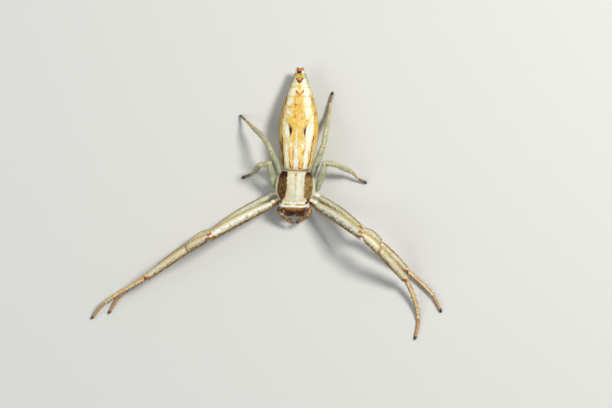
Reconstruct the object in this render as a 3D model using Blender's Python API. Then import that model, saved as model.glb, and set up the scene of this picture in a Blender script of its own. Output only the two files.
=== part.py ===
# A crab spider at rest, life size: a long-bodied grass crab spider with its two front pairs of legs
# spread forward and its two short hind pairs drawn in. It stands on the tips of its eight feet.
#
# Sizes below are in millimetres; MM turns them into metres. The spider faces -Y, its tail points
# to +Y, its own left is +X, and the floor is z = 0. The last step moves the whole animal so that
# the middle of its bounding box, at floor level, is the origin.

import math

import bmesh
import bpy
from mathutils import Vector
from mathutils.bvhtree import BVHTree

MM = 0.001
SPIDER = "crab_spider"

# Clearances between neighbouring solids
JOINT_GAP = 0.10
SEAT_GAP = 0.05
MIDLINE_GAP = 0.04

# Heights of the body
PEDICEL_HEIGHT = 1.70
CORE_BOTTOM = 0.92

# Carapace, from its rear edge (y = 0 is the waist) to the clypeus. Each station gives
# its distance forward, half width, height of the back, height of the margin,
# half width of the core between the coxae, and height of the core's underside.
CARAPACE = (
    (0.06, 0.98, 1.92, 1.72, 0.34, 1.30),
    (0.20, 1.17, 2.14, 1.68, 0.42, 1.05),
    (0.42, 1.34, 2.32, 1.64, 0.46, CORE_BOTTOM),
    (0.80, 1.50, 2.44, 1.58, 0.54, CORE_BOTTOM),
    (1.20, 1.56, 2.50, 1.54, 0.64, CORE_BOTTOM),
    (1.60, 1.55, 2.51, 1.52, 0.72, CORE_BOTTOM),
    (1.98, 1.40, 2.48, 1.52, 0.74, CORE_BOTTOM),
    (2.26, 1.19, 2.44, 1.53, 0.68, 1.00),
    (2.44, 1.10, 2.41, 1.54, 0.62, 1.24),
    (2.52, 1.13, 2.45, 1.55, 0.60, 1.40),
    (2.66, 1.14, 2.47, 1.57, 0.60, 1.48),
    (2.82, 1.14, 2.44, 1.59, 0.60, 1.52),
    (2.92, 1.08, 2.34, 1.61, 0.60, 1.54),
    (3.02, 0.96, 2.14, 1.62, 0.56, 1.55),
    (3.14, 0.82, 1.92, 1.63, 0.48, 1.56),
)
CARAPACE_ARCH = 0.62
MARGIN_THICKNESS = 0.07
NECK_WIDTH = 0.06
NECK_HEIGHT = 0.02

# A low swelling under each outer front eye, at the end of the eye ridge:
# its place as out, y and height, its spread, and how far it stands out
EYE_SWELLING = Vector((1.02, -2.68, 2.10))
SWELLING_SPREAD = 0.30
SWELLING_HEIGHT = 0.10

# Abdomen: distance back from the waist, half width, height of the back, height of the belly
ABDOMEN = (
    (0.06, 0.92, 2.02, 0.98),
    (0.16, 1.04, 2.16, 0.84),
    (0.45, 1.17, 2.34, 0.68),
    (0.86, 1.27, 2.47, 0.56),
    (1.75, 1.43, 2.62, 0.46),
    (2.45, 1.50, 2.68, 0.43),
    (3.10, 1.53, 2.70, 0.42),
    (3.95, 1.48, 2.65, 0.44),
)
# The tail end narrows in steps, one at each crease across it
CREASES = (
    (4.28, 1.43, 2.61, 0.46),
    (5.00, 1.26, 2.49, 0.53),
    (5.72, 1.05, 2.30, 0.62),
    (6.46, 0.78, 2.06, 0.76),
    (7.16, 0.52, 1.78, 0.94),
)
CREASE_DEPTH = 0.05
CREASE_LENGTH = 0.09
CREASE_LIP = 0.07
ABDOMEN_END = (7.54, 0.385, 1.66, 1.00)

# How far the middle of the abdomen bows to the animal's left of a straight line
ABDOMEN_BOW = 0.10

# Shape of its cross-section: where it is widest, and how full its sides and back are
WIDEST = 0.52
SIDE_FULLNESS = 0.85
BACK_FULLNESS = 0.90

# Spinnerets: a short collar, the anal cone over it and two pairs of spinning cones
COLLAR_RADIUS = 0.37
COLLAR_END_RADIUS = 0.33
COLLAR_LENGTH = 0.28
SPINNERET_CONES = (
    # out, up, root radius, tip radius, length, slope down in degrees
    (0.00, 0.17, 0.13, 0.07, 0.24, -6),
    (0.16, -0.11, 0.12, 0.06, 0.30, 8),
    (0.18, 0.06, 0.11, 0.06, 0.28, 3),
)

# Sternum with the lip and the two endites in front of it: distance forward, half width
STERNUM = (
    (0.66, 0.10), (0.82, 0.28), (1.10, 0.42), (1.45, 0.52), (1.80, 0.56), (2.08, 0.50),
    (2.20, 0.42), (2.30, 0.44), (2.50, 0.46), (2.70, 0.42), (2.84, 0.28),
)
STERNUM_TOP = 0.86
STERNUM_THICKNESS = 0.24
STERNUM_FULL_WIDTH = 0.40
STERNUM_FLATNESS = 0.6

# Chelicerae
CHELICERA_ROOT = Vector((0.42, -3.14, 1.42))
CHELICERA_TIP = Vector((0.30, -3.22, 0.66))
CHELICERA_WIDTH = 0.80
CHELICERA_DEPTH = 0.86
CHELICERA_SIDES = 14
# How far down, as a part of the length, and how wide, as a part of the full width
CHELICERA_PROFILE = (
    (0.00, 0.80), (0.08, 0.95), (0.30, 1.00), (0.55, 0.90), (0.80, 0.66), (0.95, 0.44), (1.00, 0.26),
)

# Pedipalps: joints of the left one from its coxa to its tip, and the thickness of each part
PALP_JOINTS = (
    (0.76, -2.54, 1.12), (1.14, -2.96, 1.32), (1.10, -3.34, 1.38), (0.74, -3.68, 1.26), (0.13, -4.10, 0.98),
)
PALP_RADII = (0.15, 0.18, 0.165, 0.14)
PALP_TIP_RADIUS = 0.08
PALP_SIDES = 8
# Each part's swelling: how far along it, and how thick as a part of its full radius
PALP_SWELLING = ((0.12, 0.80), (0.35, 1.0), (0.65, 1.0), (0.88, 0.80))

# Eyes: name, diameter, a point inside the head, and the way out to the surface
# as an out-heading (0 is sideways, -90 is forward) and a rise
EYES = (
    ("anterior_median", 0.13, (0.26, -2.70, 2.02), (-90, 10)),
    ("anterior_lateral", 0.20, (0.86, -2.72, 2.12), (-50, 6)),
    ("posterior_median", 0.11, (0.26, -2.40, 2.20), (-90, 84)),
    ("posterior_lateral", 0.17, (0.84, -2.56, 2.22), (18, 28)),
)

PARTS = ("coxa", "femur", "patella", "tibia", "metatarsus", "tarsus")

# Length of each part of a leg, by pair. The coxa takes in the short trochanter.
LENGTHS = {
    1: (1.05, 5.40, 2.00, 3.95, 3.80, 1.75),
    2: (1.20, 5.00, 2.10, 3.55, 3.10, 1.55),
    3: (1.00, 2.50, 0.80, 1.75, 0.90, 0.75),
    4: (0.68, 3.00, 1.05, 1.75, 1.10, 0.85),
}

# Radius at the start, middle and end of each part, by pair
RADII = {
    1: ((0.22, 0.25, 0.23), (0.25, 0.41, 0.34), (0.31, 0.34, 0.31), (0.29, 0.31, 0.26),
        (0.23, 0.20, 0.19), (0.18, 0.15, 0.13)),
    2: ((0.20, 0.22, 0.22), (0.23, 0.31, 0.27), (0.26, 0.29, 0.27), (0.26, 0.27, 0.23),
        (0.21, 0.19, 0.18), (0.17, 0.14, 0.12)),
    3: ((0.18, 0.21, 0.21), (0.21, 0.28, 0.22), (0.22, 0.24, 0.22), (0.21, 0.23, 0.20),
        (0.19, 0.18, 0.16), (0.15, 0.14, 0.12)),
    4: ((0.18, 0.20, 0.20), (0.20, 0.27, 0.22), (0.22, 0.24, 0.22), (0.21, 0.23, 0.20),
        (0.19, 0.18, 0.16), (0.15, 0.14, 0.12)),
}

# How far the middle of each straight part bows level towards the tail, by pair
LEG_BOWS = {
    1: {"femur": 0.09, "patella": 0.05, "tibia": 0.03},
    2: {"femur": 0.13, "patella": 0.20, "tibia": 0.06},
}

# Where each left coxa leaves the core: out, y and height
COXA_ROOTS = {
    1: (0.88, -2.22, 1.12),
    2: (0.84, -1.66, 1.10),
    3: (0.72, -1.20, 1.05),
    4: (0.52, -0.72, 1.00),
}

# Pose. Each leg has its reach, which multiplies its lengths, and for each part an out-heading
# (0 is sideways, + turns to the tail, - to the head) and a rise over the floor, in degrees.
# The last part's rise follows from its tip, which stands on the floor.
POSE = {
    (1, "right"): (1.08, (-26, 17), (-31, 25), (-30, -26), (-36, -13), (-33, -15), (-49, None)),
    (1, "left"): (0.91, (-26, 17), (-30, 27), (-39, -6), (-48, -35), (-71, -20), (-97, None)),
    (2, "right"): (1.05, (-20, -8), (-34, 3), (-32, 3), (-38, -8), (-38, -7), (-58, None)),
    (2, "left"): (0.90, (-20, -8), (-34, 18), (-36, -24), (-44, -21), (-42, -3), (-61, None)),
    (3, "right"): (0.99, (-12, 4), (80, 41), (-11, -12), (-41, -66), (-34, -60), (-24, None)),
    (3, "left"): (1.00, (-12, 4), (73, 31), (-5, -19), (-23, -41), (-43, -37), (-28, None)),
    (4, "right"): (1.00, (14, 4), (70, 40), (56, -31), (40, -33), (40, -44), (36, None)),
    (4, "left"): (1.00, (14, 4), (70, 22), (85, -25), (86, -39), (86, -17), (81, None)),
}
CURVED_PARTS = ("metatarsus", "tarsus")

# Rounding of a leg part's ends: a chamfer, and how much narrower its last face is
END_CHAMFER = 0.06
END_SIZE = 0.80
CURVED_START_SIZE = 0.85
CURVED_END_SIZE = 0.70

# Mesh fineness
LEG_SIDES = {1: 12, 2: 10, 3: 10, 4: 10}
LEG_STEPS = {"coxa": 2, "femur": 6, "patella": 4, "tibia": 4}
CURVE_STEPS = 5
CARAPACE_SIDES = 32
ABDOMEN_SIDES = 24
STERNUM_SIDES = 12
CONE_SIDES = 10
SMOOTH_ANGLE = 50

# Colours, as linear RGB
CREAM = (0.78, 0.70, 0.48)
PALE_GREEN = (0.47, 0.50, 0.34)
TAN = (0.58, 0.40, 0.20)
BROWN = (0.20, 0.10, 0.04)
RED_BROWN = (0.15, 0.04, 0.02)
GOLD = (0.72, 0.50, 0.20)
BLACK = (0.01, 0.01, 0.01)


def clear_scene():
    for old in list(bpy.data.objects):
        bpy.data.objects.remove(old, do_unlink=True)


def make_material(name, colour, roughness):
    material = bpy.data.materials.new(name)
    material.use_nodes = True
    shader = material.node_tree.nodes["Principled BSDF"]
    shader.inputs["Base Color"].default_value = (*colour, 1.0)
    shader.inputs["Roughness"].default_value = roughness
    shader.inputs["Metallic"].default_value = 0.0
    return material


def add_object(name, bm, origin, colour, roughness, body):
    """Turn a mesh built in millimetres round origin into a named object that hangs on the body."""
    bmesh.ops.recalc_face_normals(bm, faces=bm.faces)
    bmesh.ops.scale(bm, vec=(MM, MM, MM), verts=bm.verts)
    mesh = bpy.data.meshes.new(name)
    bm.to_mesh(mesh)
    bm.free()
    mesh.shade_smooth()
    mesh.set_sharp_from_angle(angle=math.radians(SMOOTH_ANGLE))
    mesh.materials.append(make_material(name, colour, roughness))
    obj = bpy.data.objects.new(name, mesh)
    obj.location = Vector(origin) * MM
    obj.parent = body
    body.users_collection[0].objects.link(obj)
    return obj


def loft(rings):
    """Join rings of equal length with faces, and close both ends."""
    bm = bmesh.new()
    loops = [[bm.verts.new(point) for point in ring] for ring in rings]
    count = len(rings[0])
    for near, far in zip(loops, loops[1:]):
        for i in range(count):
            j = (i + 1) % count
            bm.faces.new((near[i], near[j], far[j], far[i]))
    bm.faces.new(loops[0])
    bm.faces.new(loops[-1])
    return bm


def mirrored(point, side):
    """A place or direction given for the left side, on the side asked for."""
    sign = 1 if side == "left" else -1
    return Vector((sign * point[0], point[1], point[2]))


def aim(heading, rise, side):
    """Unit vector for an out-heading and a rise, in degrees."""
    turn = math.radians(heading)
    lift = math.radians(rise)
    out = Vector((math.cos(turn) * math.cos(lift), math.sin(turn) * math.cos(lift), math.sin(lift)))
    return mirrored(out, side)


def ring_round(centre, direction, plane, radius, sides):
    """A circle round a line, cut by a plane that may lean against the line."""
    across = direction.cross(Vector((0, 0, 1))).normalized()
    up = across.cross(direction)
    ring = []
    for i in range(sides):
        angle = 2 * math.pi * (i + 0.5) / sides
        point = across * (radius * math.cos(angle)) + up * (radius * math.sin(angle))
        point -= direction * (point.dot(plane) / direction.dot(plane))
        ring.append(centre + point)
    return ring


def blend(values, t):
    """Smooth value at t from 0 to 1, through the start, middle and end values."""
    start, middle, end = values
    if t < 0.5:
        low, high, s = start, middle, 2 * t
    else:
        low, high, s = middle, end, 2 * t - 1
    return low + (high - low) * (3 * s * s - 2 * s ** 3)


# Legs

def joint_points(pair, side):
    """The joints of a leg from its root on the core to its tip, and the direction of each part."""
    reach, *angles = POSE[pair, side]
    tip_height = RADII[pair][-1][-1]
    points = [mirrored(COXA_ROOTS[pair], side)]
    directions = []
    for part_length, (heading, rise) in zip(LENGTHS[pair], angles):
        length = part_length * reach
        if rise is None:
            drop = (tip_height - points[-1].z) / length
            rise = math.degrees(math.asin(drop))
        directions.append(aim(heading, rise, side))
        points.append(points[-1] + directions[-1] * length)
    return points, directions


def straight_rings(start, end, planes, radii, sides, steps, bow):
    """Rings of a part that bows level by its middle, and whose ends lean with the joints' planes."""
    direction = (end - start).normalized()
    length = (end - start).length
    rims = []
    for plane, radius in zip(planes, (radii[0], radii[2])):
        lean = math.acos(min(1.0, direction.dot(plane)))
        rims.append(min(0.4 * length, radius * math.tan(lean) + 2 * END_CHAMFER))
    rings = [ring_round(start, direction, planes[0], END_SIZE * radii[0], sides),
             ring_round(start + direction * END_CHAMFER, direction, planes[0], radii[0], sides)]
    for i in range(steps + 1):
        along = rims[0] + (length - rims[0] - rims[1]) * i / steps
        centre = start + direction * along + bow * math.sin(math.pi * along / length)
        rings.append(ring_round(centre, direction, direction, blend(radii, along / length), sides))
    rings.append(ring_round(end - direction * END_CHAMFER, direction, planes[1], radii[2], sides))
    rings.append(ring_round(end, direction, planes[1], END_SIZE * radii[2], sides))
    return rings


def curved_rings(start, end, tangents, radii, sides, steps):
    """Rings of a part that bends evenly from one joint's direction to the next."""
    reach = (end - start).length
    rings = []
    for i in range(steps + 1):
        t = i / steps
        centre = (start * (2 * t ** 3 - 3 * t ** 2 + 1) + end * (3 * t ** 2 - 2 * t ** 3)
                  + tangents[0] * reach * (t ** 3 - 2 * t ** 2 + t)
                  + tangents[1] * reach * (t ** 3 - t ** 2))
        slope = (start * (6 * t ** 2 - 6 * t) + end * (6 * t - 6 * t ** 2)
                 + tangents[0] * reach * (3 * t ** 2 - 4 * t + 1)
                 + tangents[1] * reach * (3 * t ** 2 - 2 * t)).normalized()
        rings.append(ring_round(centre, slope, slope, blend(radii, t), sides))
    for ring, factor in ((rings[0], CURVED_START_SIZE), (rings[-1], CURVED_END_SIZE)):
        middle = sum(ring, Vector()) / len(ring)
        for point in ring:
            point.xyz = middle + (point - middle) * factor
    return rings


def leg_part_rings(pair, index, points, directions):
    """Rings of one part of a leg, short of both its joints by half the gap."""
    before = directions[max(index - 1, 0)]
    here = directions[index]
    after = directions[min(index + 1, len(directions) - 1)]
    planes = [(before + here).normalized(), (here + after).normalized()]
    if index == 0:
        planes[0] = Vector((math.copysign(1, here.x), 0, 0))
    radii = RADII[pair][index]
    sides = LEG_SIDES[pair]
    if PARTS[index] in CURVED_PARTS:
        ends = (points[index] + planes[0] * JOINT_GAP / 2, points[index + 1] - planes[1] * JOINT_GAP / 2)
        return curved_rings(*ends, planes, radii, sides, CURVE_STEPS)
    cuts = [JOINT_GAP / 2 / here.dot(plane) for plane in planes]
    ends = (points[index] + here * cuts[0], points[index + 1] - here * cuts[1])
    to_tail = Vector((-here.y, here.x, 0)).normalized() * math.copysign(1, here.x)
    bow = to_tail * LEG_BOWS.get(pair, {}).get(PARTS[index], 0)
    return straight_rings(*ends, planes, radii, sides, LEG_STEPS[PARTS[index]], bow)


def stand_on_floor(ring_points):
    """Flatten what would reach below the floor into a small flat on it."""
    for point in ring_points:
        point.z = max(point.z, 0.0)


def leg_colour(pair, part):
    if part in CURVED_PARTS or part == "foot":
        return TAN
    return CREAM if pair < 3 else PALE_GREEN


def build_leg(pair, side, body):
    points, directions = joint_points(pair, side)
    groups = [(part, (i,)) for i, part in enumerate(PARTS)]
    if pair > 2:
        groups[4:] = [("foot", (4, 5))]
    for part, indices in groups:
        rings = []
        for index in indices:
            new_rings = leg_part_rings(pair, index, points, directions)
            if rings:
                # the two parts of a hind foot are one piece: the joint is only a slight waist
                rings.pop()
                new_rings = new_rings[1:]
            rings.extend(new_rings)
        if indices[-1] == len(PARTS) - 1:
            for ring in rings:
                stand_on_floor(ring)
        origin = points[indices[0]]
        local = [[point - origin for point in ring] for ring in rings]
        add_object(f"leg_{pair}_{side}_{part}", loft(local), origin, leg_colour(pair, part), 0.5, body)


# Head and breast

def carapace_ring(station):
    """One cross-section: an arched back, a thin margin and a narrow core below it."""
    forward, half_width, back, margin, core, bottom = station
    arch_steps = CARAPACE_SIDES // 4
    half = []
    for i in range(arch_steps + 1):
        angle = math.pi / 2 * (1 - i / arch_steps)
        x = half_width * math.cos(angle) ** CARAPACE_ARCH
        z = margin + (back - margin) * math.sin(angle) ** CARAPACE_ARCH
        half.append((x, z))
    half[0] = (0.0, back)
    under = margin - MARGIN_THICKNESS
    neck = min(core + NECK_WIDTH, 0.9 * half_width)
    half.append((0.96 * half_width, under))
    half.append((neck, under - NECK_HEIGHT))
    half.append((core, (under + bottom) / 2))
    half.append((0.8 * core, bottom))
    left = [swollen(Vector((x, -forward, z))) for x, z in half]
    right = [Vector((-point.x, point.y, point.z)) for point in reversed(left[1:])]
    return left + right


def swollen(point):
    """Push a point of the back outwards where the swelling under the outer front eye is."""
    away = point - EYE_SWELLING
    strength = math.exp(-(away.length / SWELLING_SPREAD) ** 2)
    outwards = Vector((1.0, -0.5, 0.6)).normalized()
    return point + outwards * (SWELLING_HEIGHT * strength)


def build_carapace(body):
    origin = Vector((0, -1.5, CORE_BOTTOM))
    rings = [[point - origin for point in carapace_ring(station)] for station in CARAPACE]
    bm = loft(rings)
    bmesh.ops.recalc_face_normals(bm, faces=bm.faces)
    surface = BVHTree.FromBMesh(bm)
    add_object("carapace", bm, origin, CREAM, 0.45, body)
    return surface, origin


def build_eyes(surface, surface_origin, body):
    """Eight small domes, each seated on the head where a line from inside it comes out."""
    for name, diameter, inside, (heading, rise) in EYES:
        for side in ("left", "right"):
            way = aim(heading, rise, side)
            start = mirrored(inside, side) - surface_origin + way * 5
            place, normal, _, _ = surface.ray_cast(start, -way)
            bm = bmesh.new()
            bmesh.ops.create_uvsphere(bm, u_segments=12, v_segments=8, radius=diameter / 2)
            for vert in bm.verts:
                vert.co.z = max(vert.co.z, 0.0)
            seat = (way + normal).normalized().to_track_quat("Z", "Y")
            bmesh.ops.rotate(bm, cent=(0, 0, 0), matrix=seat.to_matrix(), verts=bm.verts)
            origin = surface_origin + place + normal * SEAT_GAP
            add_object(f"eye_{name}_{side}", bm, origin, BLACK, 0.1, body)


def build_sternum(body):
    """A flat shield under the coxae, with the mouthparts in front of it."""
    origin = Vector((0, -1.5, STERNUM_TOP))
    rings = []
    for forward, half_width in STERNUM:
        ring = []
        thickness = STERNUM_THICKNESS * min(1.0, half_width / STERNUM_FULL_WIDTH)
        for i in range(STERNUM_SIDES):
            angle = 2 * math.pi * i / STERNUM_SIDES
            z = -STERNUM_THICKNESS / 2 + thickness / 2 * math.sin(angle)
            x = half_width * math.copysign(abs(math.cos(angle)) ** STERNUM_FLATNESS, math.cos(angle))
            ring.append(Vector((x, -forward - origin.y, z)))
        rings.append(ring)
    add_object("sternum", loft(rings), origin, CREAM, 0.5, body)


def build_chelicera(side, body):
    """A stout, slightly flattened cone that hangs from the face."""
    root = mirrored(CHELICERA_ROOT, side)
    rings = []
    for t, size in CHELICERA_PROFILE:
        centre = CHELICERA_ROOT.lerp(CHELICERA_TIP, t)
        ring = []
        for i in range(CHELICERA_SIDES):
            angle = 2 * math.pi * (i + 0.5) / CHELICERA_SIDES
            x = centre.x + CHELICERA_WIDTH / 2 * size * math.cos(angle)
            y = centre.y + CHELICERA_DEPTH / 2 * size * math.sin(angle)
            # the two meet along flat inner faces
            ring.append(mirrored((max(x, MIDLINE_GAP), y, centre.z), side) - root)
        rings.append(ring)
    add_object(f"chelicera_{side}", loft(rings), root, RED_BROWN, 0.3, body)


def build_pedipalp(side, body):
    """A short bent feeler of four parts, each swollen in its middle."""
    joints = [mirrored(point, side) for point in PALP_JOINTS]
    rings = []
    for index, radius in enumerate(PALP_RADII):
        start, end = joints[index], joints[index + 1]
        direction = (end - start).normalized()
        last = index == len(PALP_RADII) - 1
        for t, size in PALP_SWELLING:
            width = radius * size
            if last and t > 0.5:
                width = PALP_TIP_RADIUS + (radius - PALP_TIP_RADIUS) * (1 - t)
            rings.append(ring_round(start.lerp(end, t), direction, direction, width, PALP_SIDES))
    rings.append(ring_round(end, direction, direction, PALP_TIP_RADIUS / 2, PALP_SIDES))
    origin = joints[0]
    local = [[point - origin for point in ring] for ring in rings]
    add_object(f"pedipalp_{side}", loft(local), origin, BROWN, 0.5, body)


# Abdomen

def body_ring(back, half_width, top, bottom):
    """An oval cross-section of the abdomen, flatter below than above."""
    widest = bottom + WIDEST * (top - bottom)
    middle = ABDOMEN_BOW * math.sin(math.pi * back / ABDOMEN_END[0])
    ring = []
    for i in range(ABDOMEN_SIDES):
        angle = 2 * math.pi * (i + 0.5) / ABDOMEN_SIDES
        rise = math.sin(angle)
        height = top - widest if rise > 0 else widest - bottom
        x = half_width * math.copysign(abs(math.cos(angle)) ** SIDE_FULLNESS, math.cos(angle))
        z = widest + height * math.copysign(abs(rise) ** BACK_FULLNESS, rise)
        ring.append(Vector((middle + x, back, z)))
    return ring


def build_abdomen(body):
    origin = Vector((0, ABDOMEN[0][0], PEDICEL_HEIGHT))
    stations = list(ABDOMEN)
    for back, half_width, top, bottom in CREASES:
        stations.append((back, half_width, top, bottom))
        stations.append((back + CREASE_LENGTH / 2, half_width - CREASE_LIP,
                         top - CREASE_DEPTH, bottom + CREASE_DEPTH))
        stations.append((back + 1.6 * CREASE_LENGTH, half_width - 0.6 * CREASE_DEPTH,
                         top - 0.3 * CREASE_DEPTH, bottom + 0.3 * CREASE_DEPTH))
    stations.append(ABDOMEN_END)
    rings = [[point - origin for point in body_ring(*station)] for station in stations]
    add_object("abdomen", loft(rings), origin, GOLD, 0.5, body)


def cone(root, direction, root_radius, tip_radius, length):
    """A closed, tapered cone of its own, as a mesh object for a union."""
    bm = bmesh.new()
    bmesh.ops.create_cone(bm, cap_ends=True, segments=CONE_SIDES, radius1=root_radius, radius2=tip_radius,
                          depth=length)
    bmesh.ops.translate(bm, vec=(0, 0, length / 2), verts=bm.verts)
    turn = direction.to_track_quat("Z", "Y").to_matrix()
    bmesh.ops.rotate(bm, cent=(0, 0, 0), matrix=turn, verts=bm.verts)
    bmesh.ops.translate(bm, vec=root, verts=bm.verts)
    return bm


def build_spinnerets(body):
    """The collar at the tail's end with its cones, fused into one piece."""
    back, _, top, bottom = ABDOMEN_END
    origin = Vector((0, back + SEAT_GAP, (top + bottom) / 2))
    pieces = [cone(Vector(), Vector((0, 1, 0)), COLLAR_RADIUS, COLLAR_END_RADIUS, COLLAR_LENGTH)]
    for out, up, root_radius, tip_radius, length, slope in SPINNERET_CONES:
        for side in ("left", "right") if out else ("left",):
            root = mirrored((out, COLLAR_LENGTH / 3, up), side)
            direction = aim(90, -slope, side)
            pieces.append(cone(root, direction, root_radius, tip_radius, length))
    add_object("spinnerets", union(pieces), origin, BROWN, 0.4, body)


def union(pieces):
    """Fuse closed meshes into one, and keep its largest closed surface."""
    scratch = bpy.data.collections.new("fused_pieces")
    bpy.context.scene.collection.children.link(scratch)
    objects = []
    for bm in pieces:
        bmesh.ops.recalc_face_normals(bm, faces=bm.faces)
        mesh = bpy.data.meshes.new("piece")
        bm.to_mesh(mesh)
        bm.free()
        obj = bpy.data.objects.new("piece", mesh)
        objects.append(obj)
    base = objects[0]
    bpy.context.scene.collection.objects.link(base)
    for obj in objects[1:]:
        scratch.objects.link(obj)
    fuse = base.modifiers.new("union", "BOOLEAN")
    fuse.operation = "UNION"
    fuse.operand_type = "COLLECTION"
    fuse.collection = scratch
    fuse.solver = "EXACT"
    evaluated = base.evaluated_get(bpy.context.evaluated_depsgraph_get())
    fused = bmesh.new()
    fused.from_mesh(evaluated.to_mesh())
    evaluated.to_mesh_clear()
    for obj in objects:
        bpy.data.objects.remove(obj, do_unlink=True)
    bpy.data.collections.remove(scratch)
    keep_largest(fused)
    return fused


def keep_largest(bm):
    """Drop every closed surface but the largest."""
    left = set(bm.faces)
    shells = []
    while left:
        shell = {left.pop()}
        front = list(shell)
        while front:
            face = front.pop()
            for edge in face.edges:
                for other in edge.link_faces:
                    if other in left:
                        left.discard(other)
                        shell.add(other)
                        front.append(other)
        shells.append(shell)
    shells.sort(key=lambda faces: sum(face.calc_area() for face in faces))
    for shell in shells[:-1]:
        bmesh.ops.delete(bm, geom=list(shell), context="FACES")


def centre_on_floor(body, collection):
    """Move the whole animal so that the middle of its box, at floor level, is the origin."""
    bpy.context.view_layer.update()
    corners = [obj.matrix_world @ vert.co
               for obj in collection.objects if obj.type == "MESH" for vert in obj.data.vertices]
    for axis in (0, 1):
        low = min(corner[axis] for corner in corners)
        high = max(corner[axis] for corner in corners)
        body.location[axis] = -(low + high) / 2
    body.location.z = -min(corner.z for corner in corners)


def build_spider():
    clear_scene()
    collection = bpy.data.collections.new(SPIDER)
    bpy.context.scene.collection.children.link(collection)
    body = bpy.data.objects.new("spider_body", None)
    body.empty_display_size = MM
    collection.objects.link(body)

    surface, surface_origin = build_carapace(body)
    build_eyes(surface, surface_origin, body)
    build_sternum(body)
    build_abdomen(body)
    build_spinnerets(body)
    for side in ("left", "right"):
        build_chelicera(side, body)
        build_pedipalp(side, body)
        for pair in LENGTHS:
            build_leg(pair, side, body)
    centre_on_floor(body, collection)


build_spider()
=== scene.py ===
# A crab spider at rest, life size: the finished surfaces of a long-bodied grass crab spider.
#
# Sizes are in millimetres and MM turns them into metres. Shapes are worked out in the animal's own
# frame: it faces -Y, its tail points to +Y, its own left is +X, the waist is x = y = 0 and the
# floor is z = 0. WAIST is where that frame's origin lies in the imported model.
#
# Every surface is a grid of rings. A function shapes the rings, and another paints each vertex
# from its place on the animal. Hairs grow from vertices of a painted grid and take their colour
# from it, so that skin and coat carry the same markings.

import itertools
import math
from typing import NamedTuple

import bpy
import numpy as np
from mathutils import Matrix, Vector


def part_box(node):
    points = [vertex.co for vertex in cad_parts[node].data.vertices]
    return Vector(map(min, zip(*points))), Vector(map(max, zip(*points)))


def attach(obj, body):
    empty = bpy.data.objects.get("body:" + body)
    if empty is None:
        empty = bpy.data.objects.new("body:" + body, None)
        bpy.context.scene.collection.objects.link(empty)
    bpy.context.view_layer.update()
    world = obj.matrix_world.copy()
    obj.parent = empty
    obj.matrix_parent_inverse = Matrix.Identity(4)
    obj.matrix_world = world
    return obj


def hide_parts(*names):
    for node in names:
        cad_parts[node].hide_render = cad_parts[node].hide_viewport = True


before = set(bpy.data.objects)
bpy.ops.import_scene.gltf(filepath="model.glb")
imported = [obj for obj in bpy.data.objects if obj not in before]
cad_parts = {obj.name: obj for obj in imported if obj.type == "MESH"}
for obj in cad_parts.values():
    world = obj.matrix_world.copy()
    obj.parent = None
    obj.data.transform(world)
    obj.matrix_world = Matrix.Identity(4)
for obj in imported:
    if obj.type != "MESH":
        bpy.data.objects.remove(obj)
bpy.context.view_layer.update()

MM = 0.001
BODY = "root"
SEED = 11

carapace_low, carapace_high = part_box("carapace")
CARAPACE_REAR = 0.06
WAIST = np.array([(carapace_low.x + carapace_high.x) / 2, carapace_high.y + CARAPACE_REAR * MM, 0.0])

SIDES = ("left", "right")

# Colours, linear RGB
WHITE = np.array([0.84, 0.84, 0.66])
CREAM = np.array([0.80, 0.72, 0.45])
PALE_BLUE_WHITE = np.array([0.76, 0.80, 0.72])
YELLOW = np.array([0.82, 0.57, 0.075])
GOLD = np.array([0.76, 0.51, 0.090])
DEEP_GOLD = np.array([0.55, 0.27, 0.05])
OLIVE_YELLOW = np.array([0.46, 0.37, 0.12])
ORANGE = np.array([0.70, 0.20, 0.025])
RED = np.array([0.40, 0.045, 0.015])
PINK = np.array([0.74, 0.42, 0.36])
BROWN = np.array([0.18, 0.062, 0.006])
DARK_BROWN = np.array([0.036, 0.010, 0.003])
UMBER = np.array([0.082, 0.040, 0.007])
CHESTNUT = np.array([0.34, 0.11, 0.03])
TAN = np.array([0.66, 0.41, 0.19])
ORANGE_TAN = np.array([0.58, 0.29, 0.09])
GREEN_GREY = np.array([0.33, 0.37, 0.20])
PALE_GREEN = np.array([0.50, 0.53, 0.36])
BUFF = np.array([0.62, 0.52, 0.32])
BLUE_BLACK = np.array([0.018, 0.020, 0.034])
BLACK_BROWN = np.array([0.022, 0.006, 0.001])
RED_BROWN = np.array([0.115, 0.018, 0.001])
SHELL_CREAM = np.array([0.62, 0.56, 0.35])
SHELL_WHITE = np.array([0.69, 0.69, 0.58])
FACE_ORANGE = np.array([0.66, 0.28, 0.025])
LACE = np.array([0.46, 0.31, 0.11])
LIP_WHITE = np.array([0.86, 0.83, 0.77])
COXA_BROWN = np.array([0.38, 0.15, 0.02])
LEG_CREAM = np.array([0.70, 0.59, 0.32])
LEG_WHITE = np.array([0.67, 0.71, 0.62])
LEG_TAN = np.array([0.58, 0.35, 0.075])
PEACH = np.array([0.78, 0.52, 0.21])
SOOT = np.array([0.022, 0.018, 0.018])


# Soft steps, curves and random values

def smooth(value, low, high):
    """0 below low, 1 above high, and a soft step between."""
    t = np.clip((np.asarray(value, float) - low) / (high - low), 0.0, 1.0)
    return t * t * (3 - 2 * t)


def hump(value, centre, width):
    """1 at the centre, falling softly to 0 on both sides."""
    return np.exp(-((np.asarray(value, float) - centre) / width) ** 2)


def add_humps(total, value, rows):
    """total with a hump on it for each row of height, centre and width."""
    for height, centre, width in rows:
        total = total + height * hump(value, centre, width)
    return total


def stripe(value, centre, half, soft=0.02):
    """1 within half of the centre, 0 outside, with soft edges."""
    return 1 - smooth(np.abs(np.asarray(value, float) - centre), half - soft, half + soft)


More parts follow.
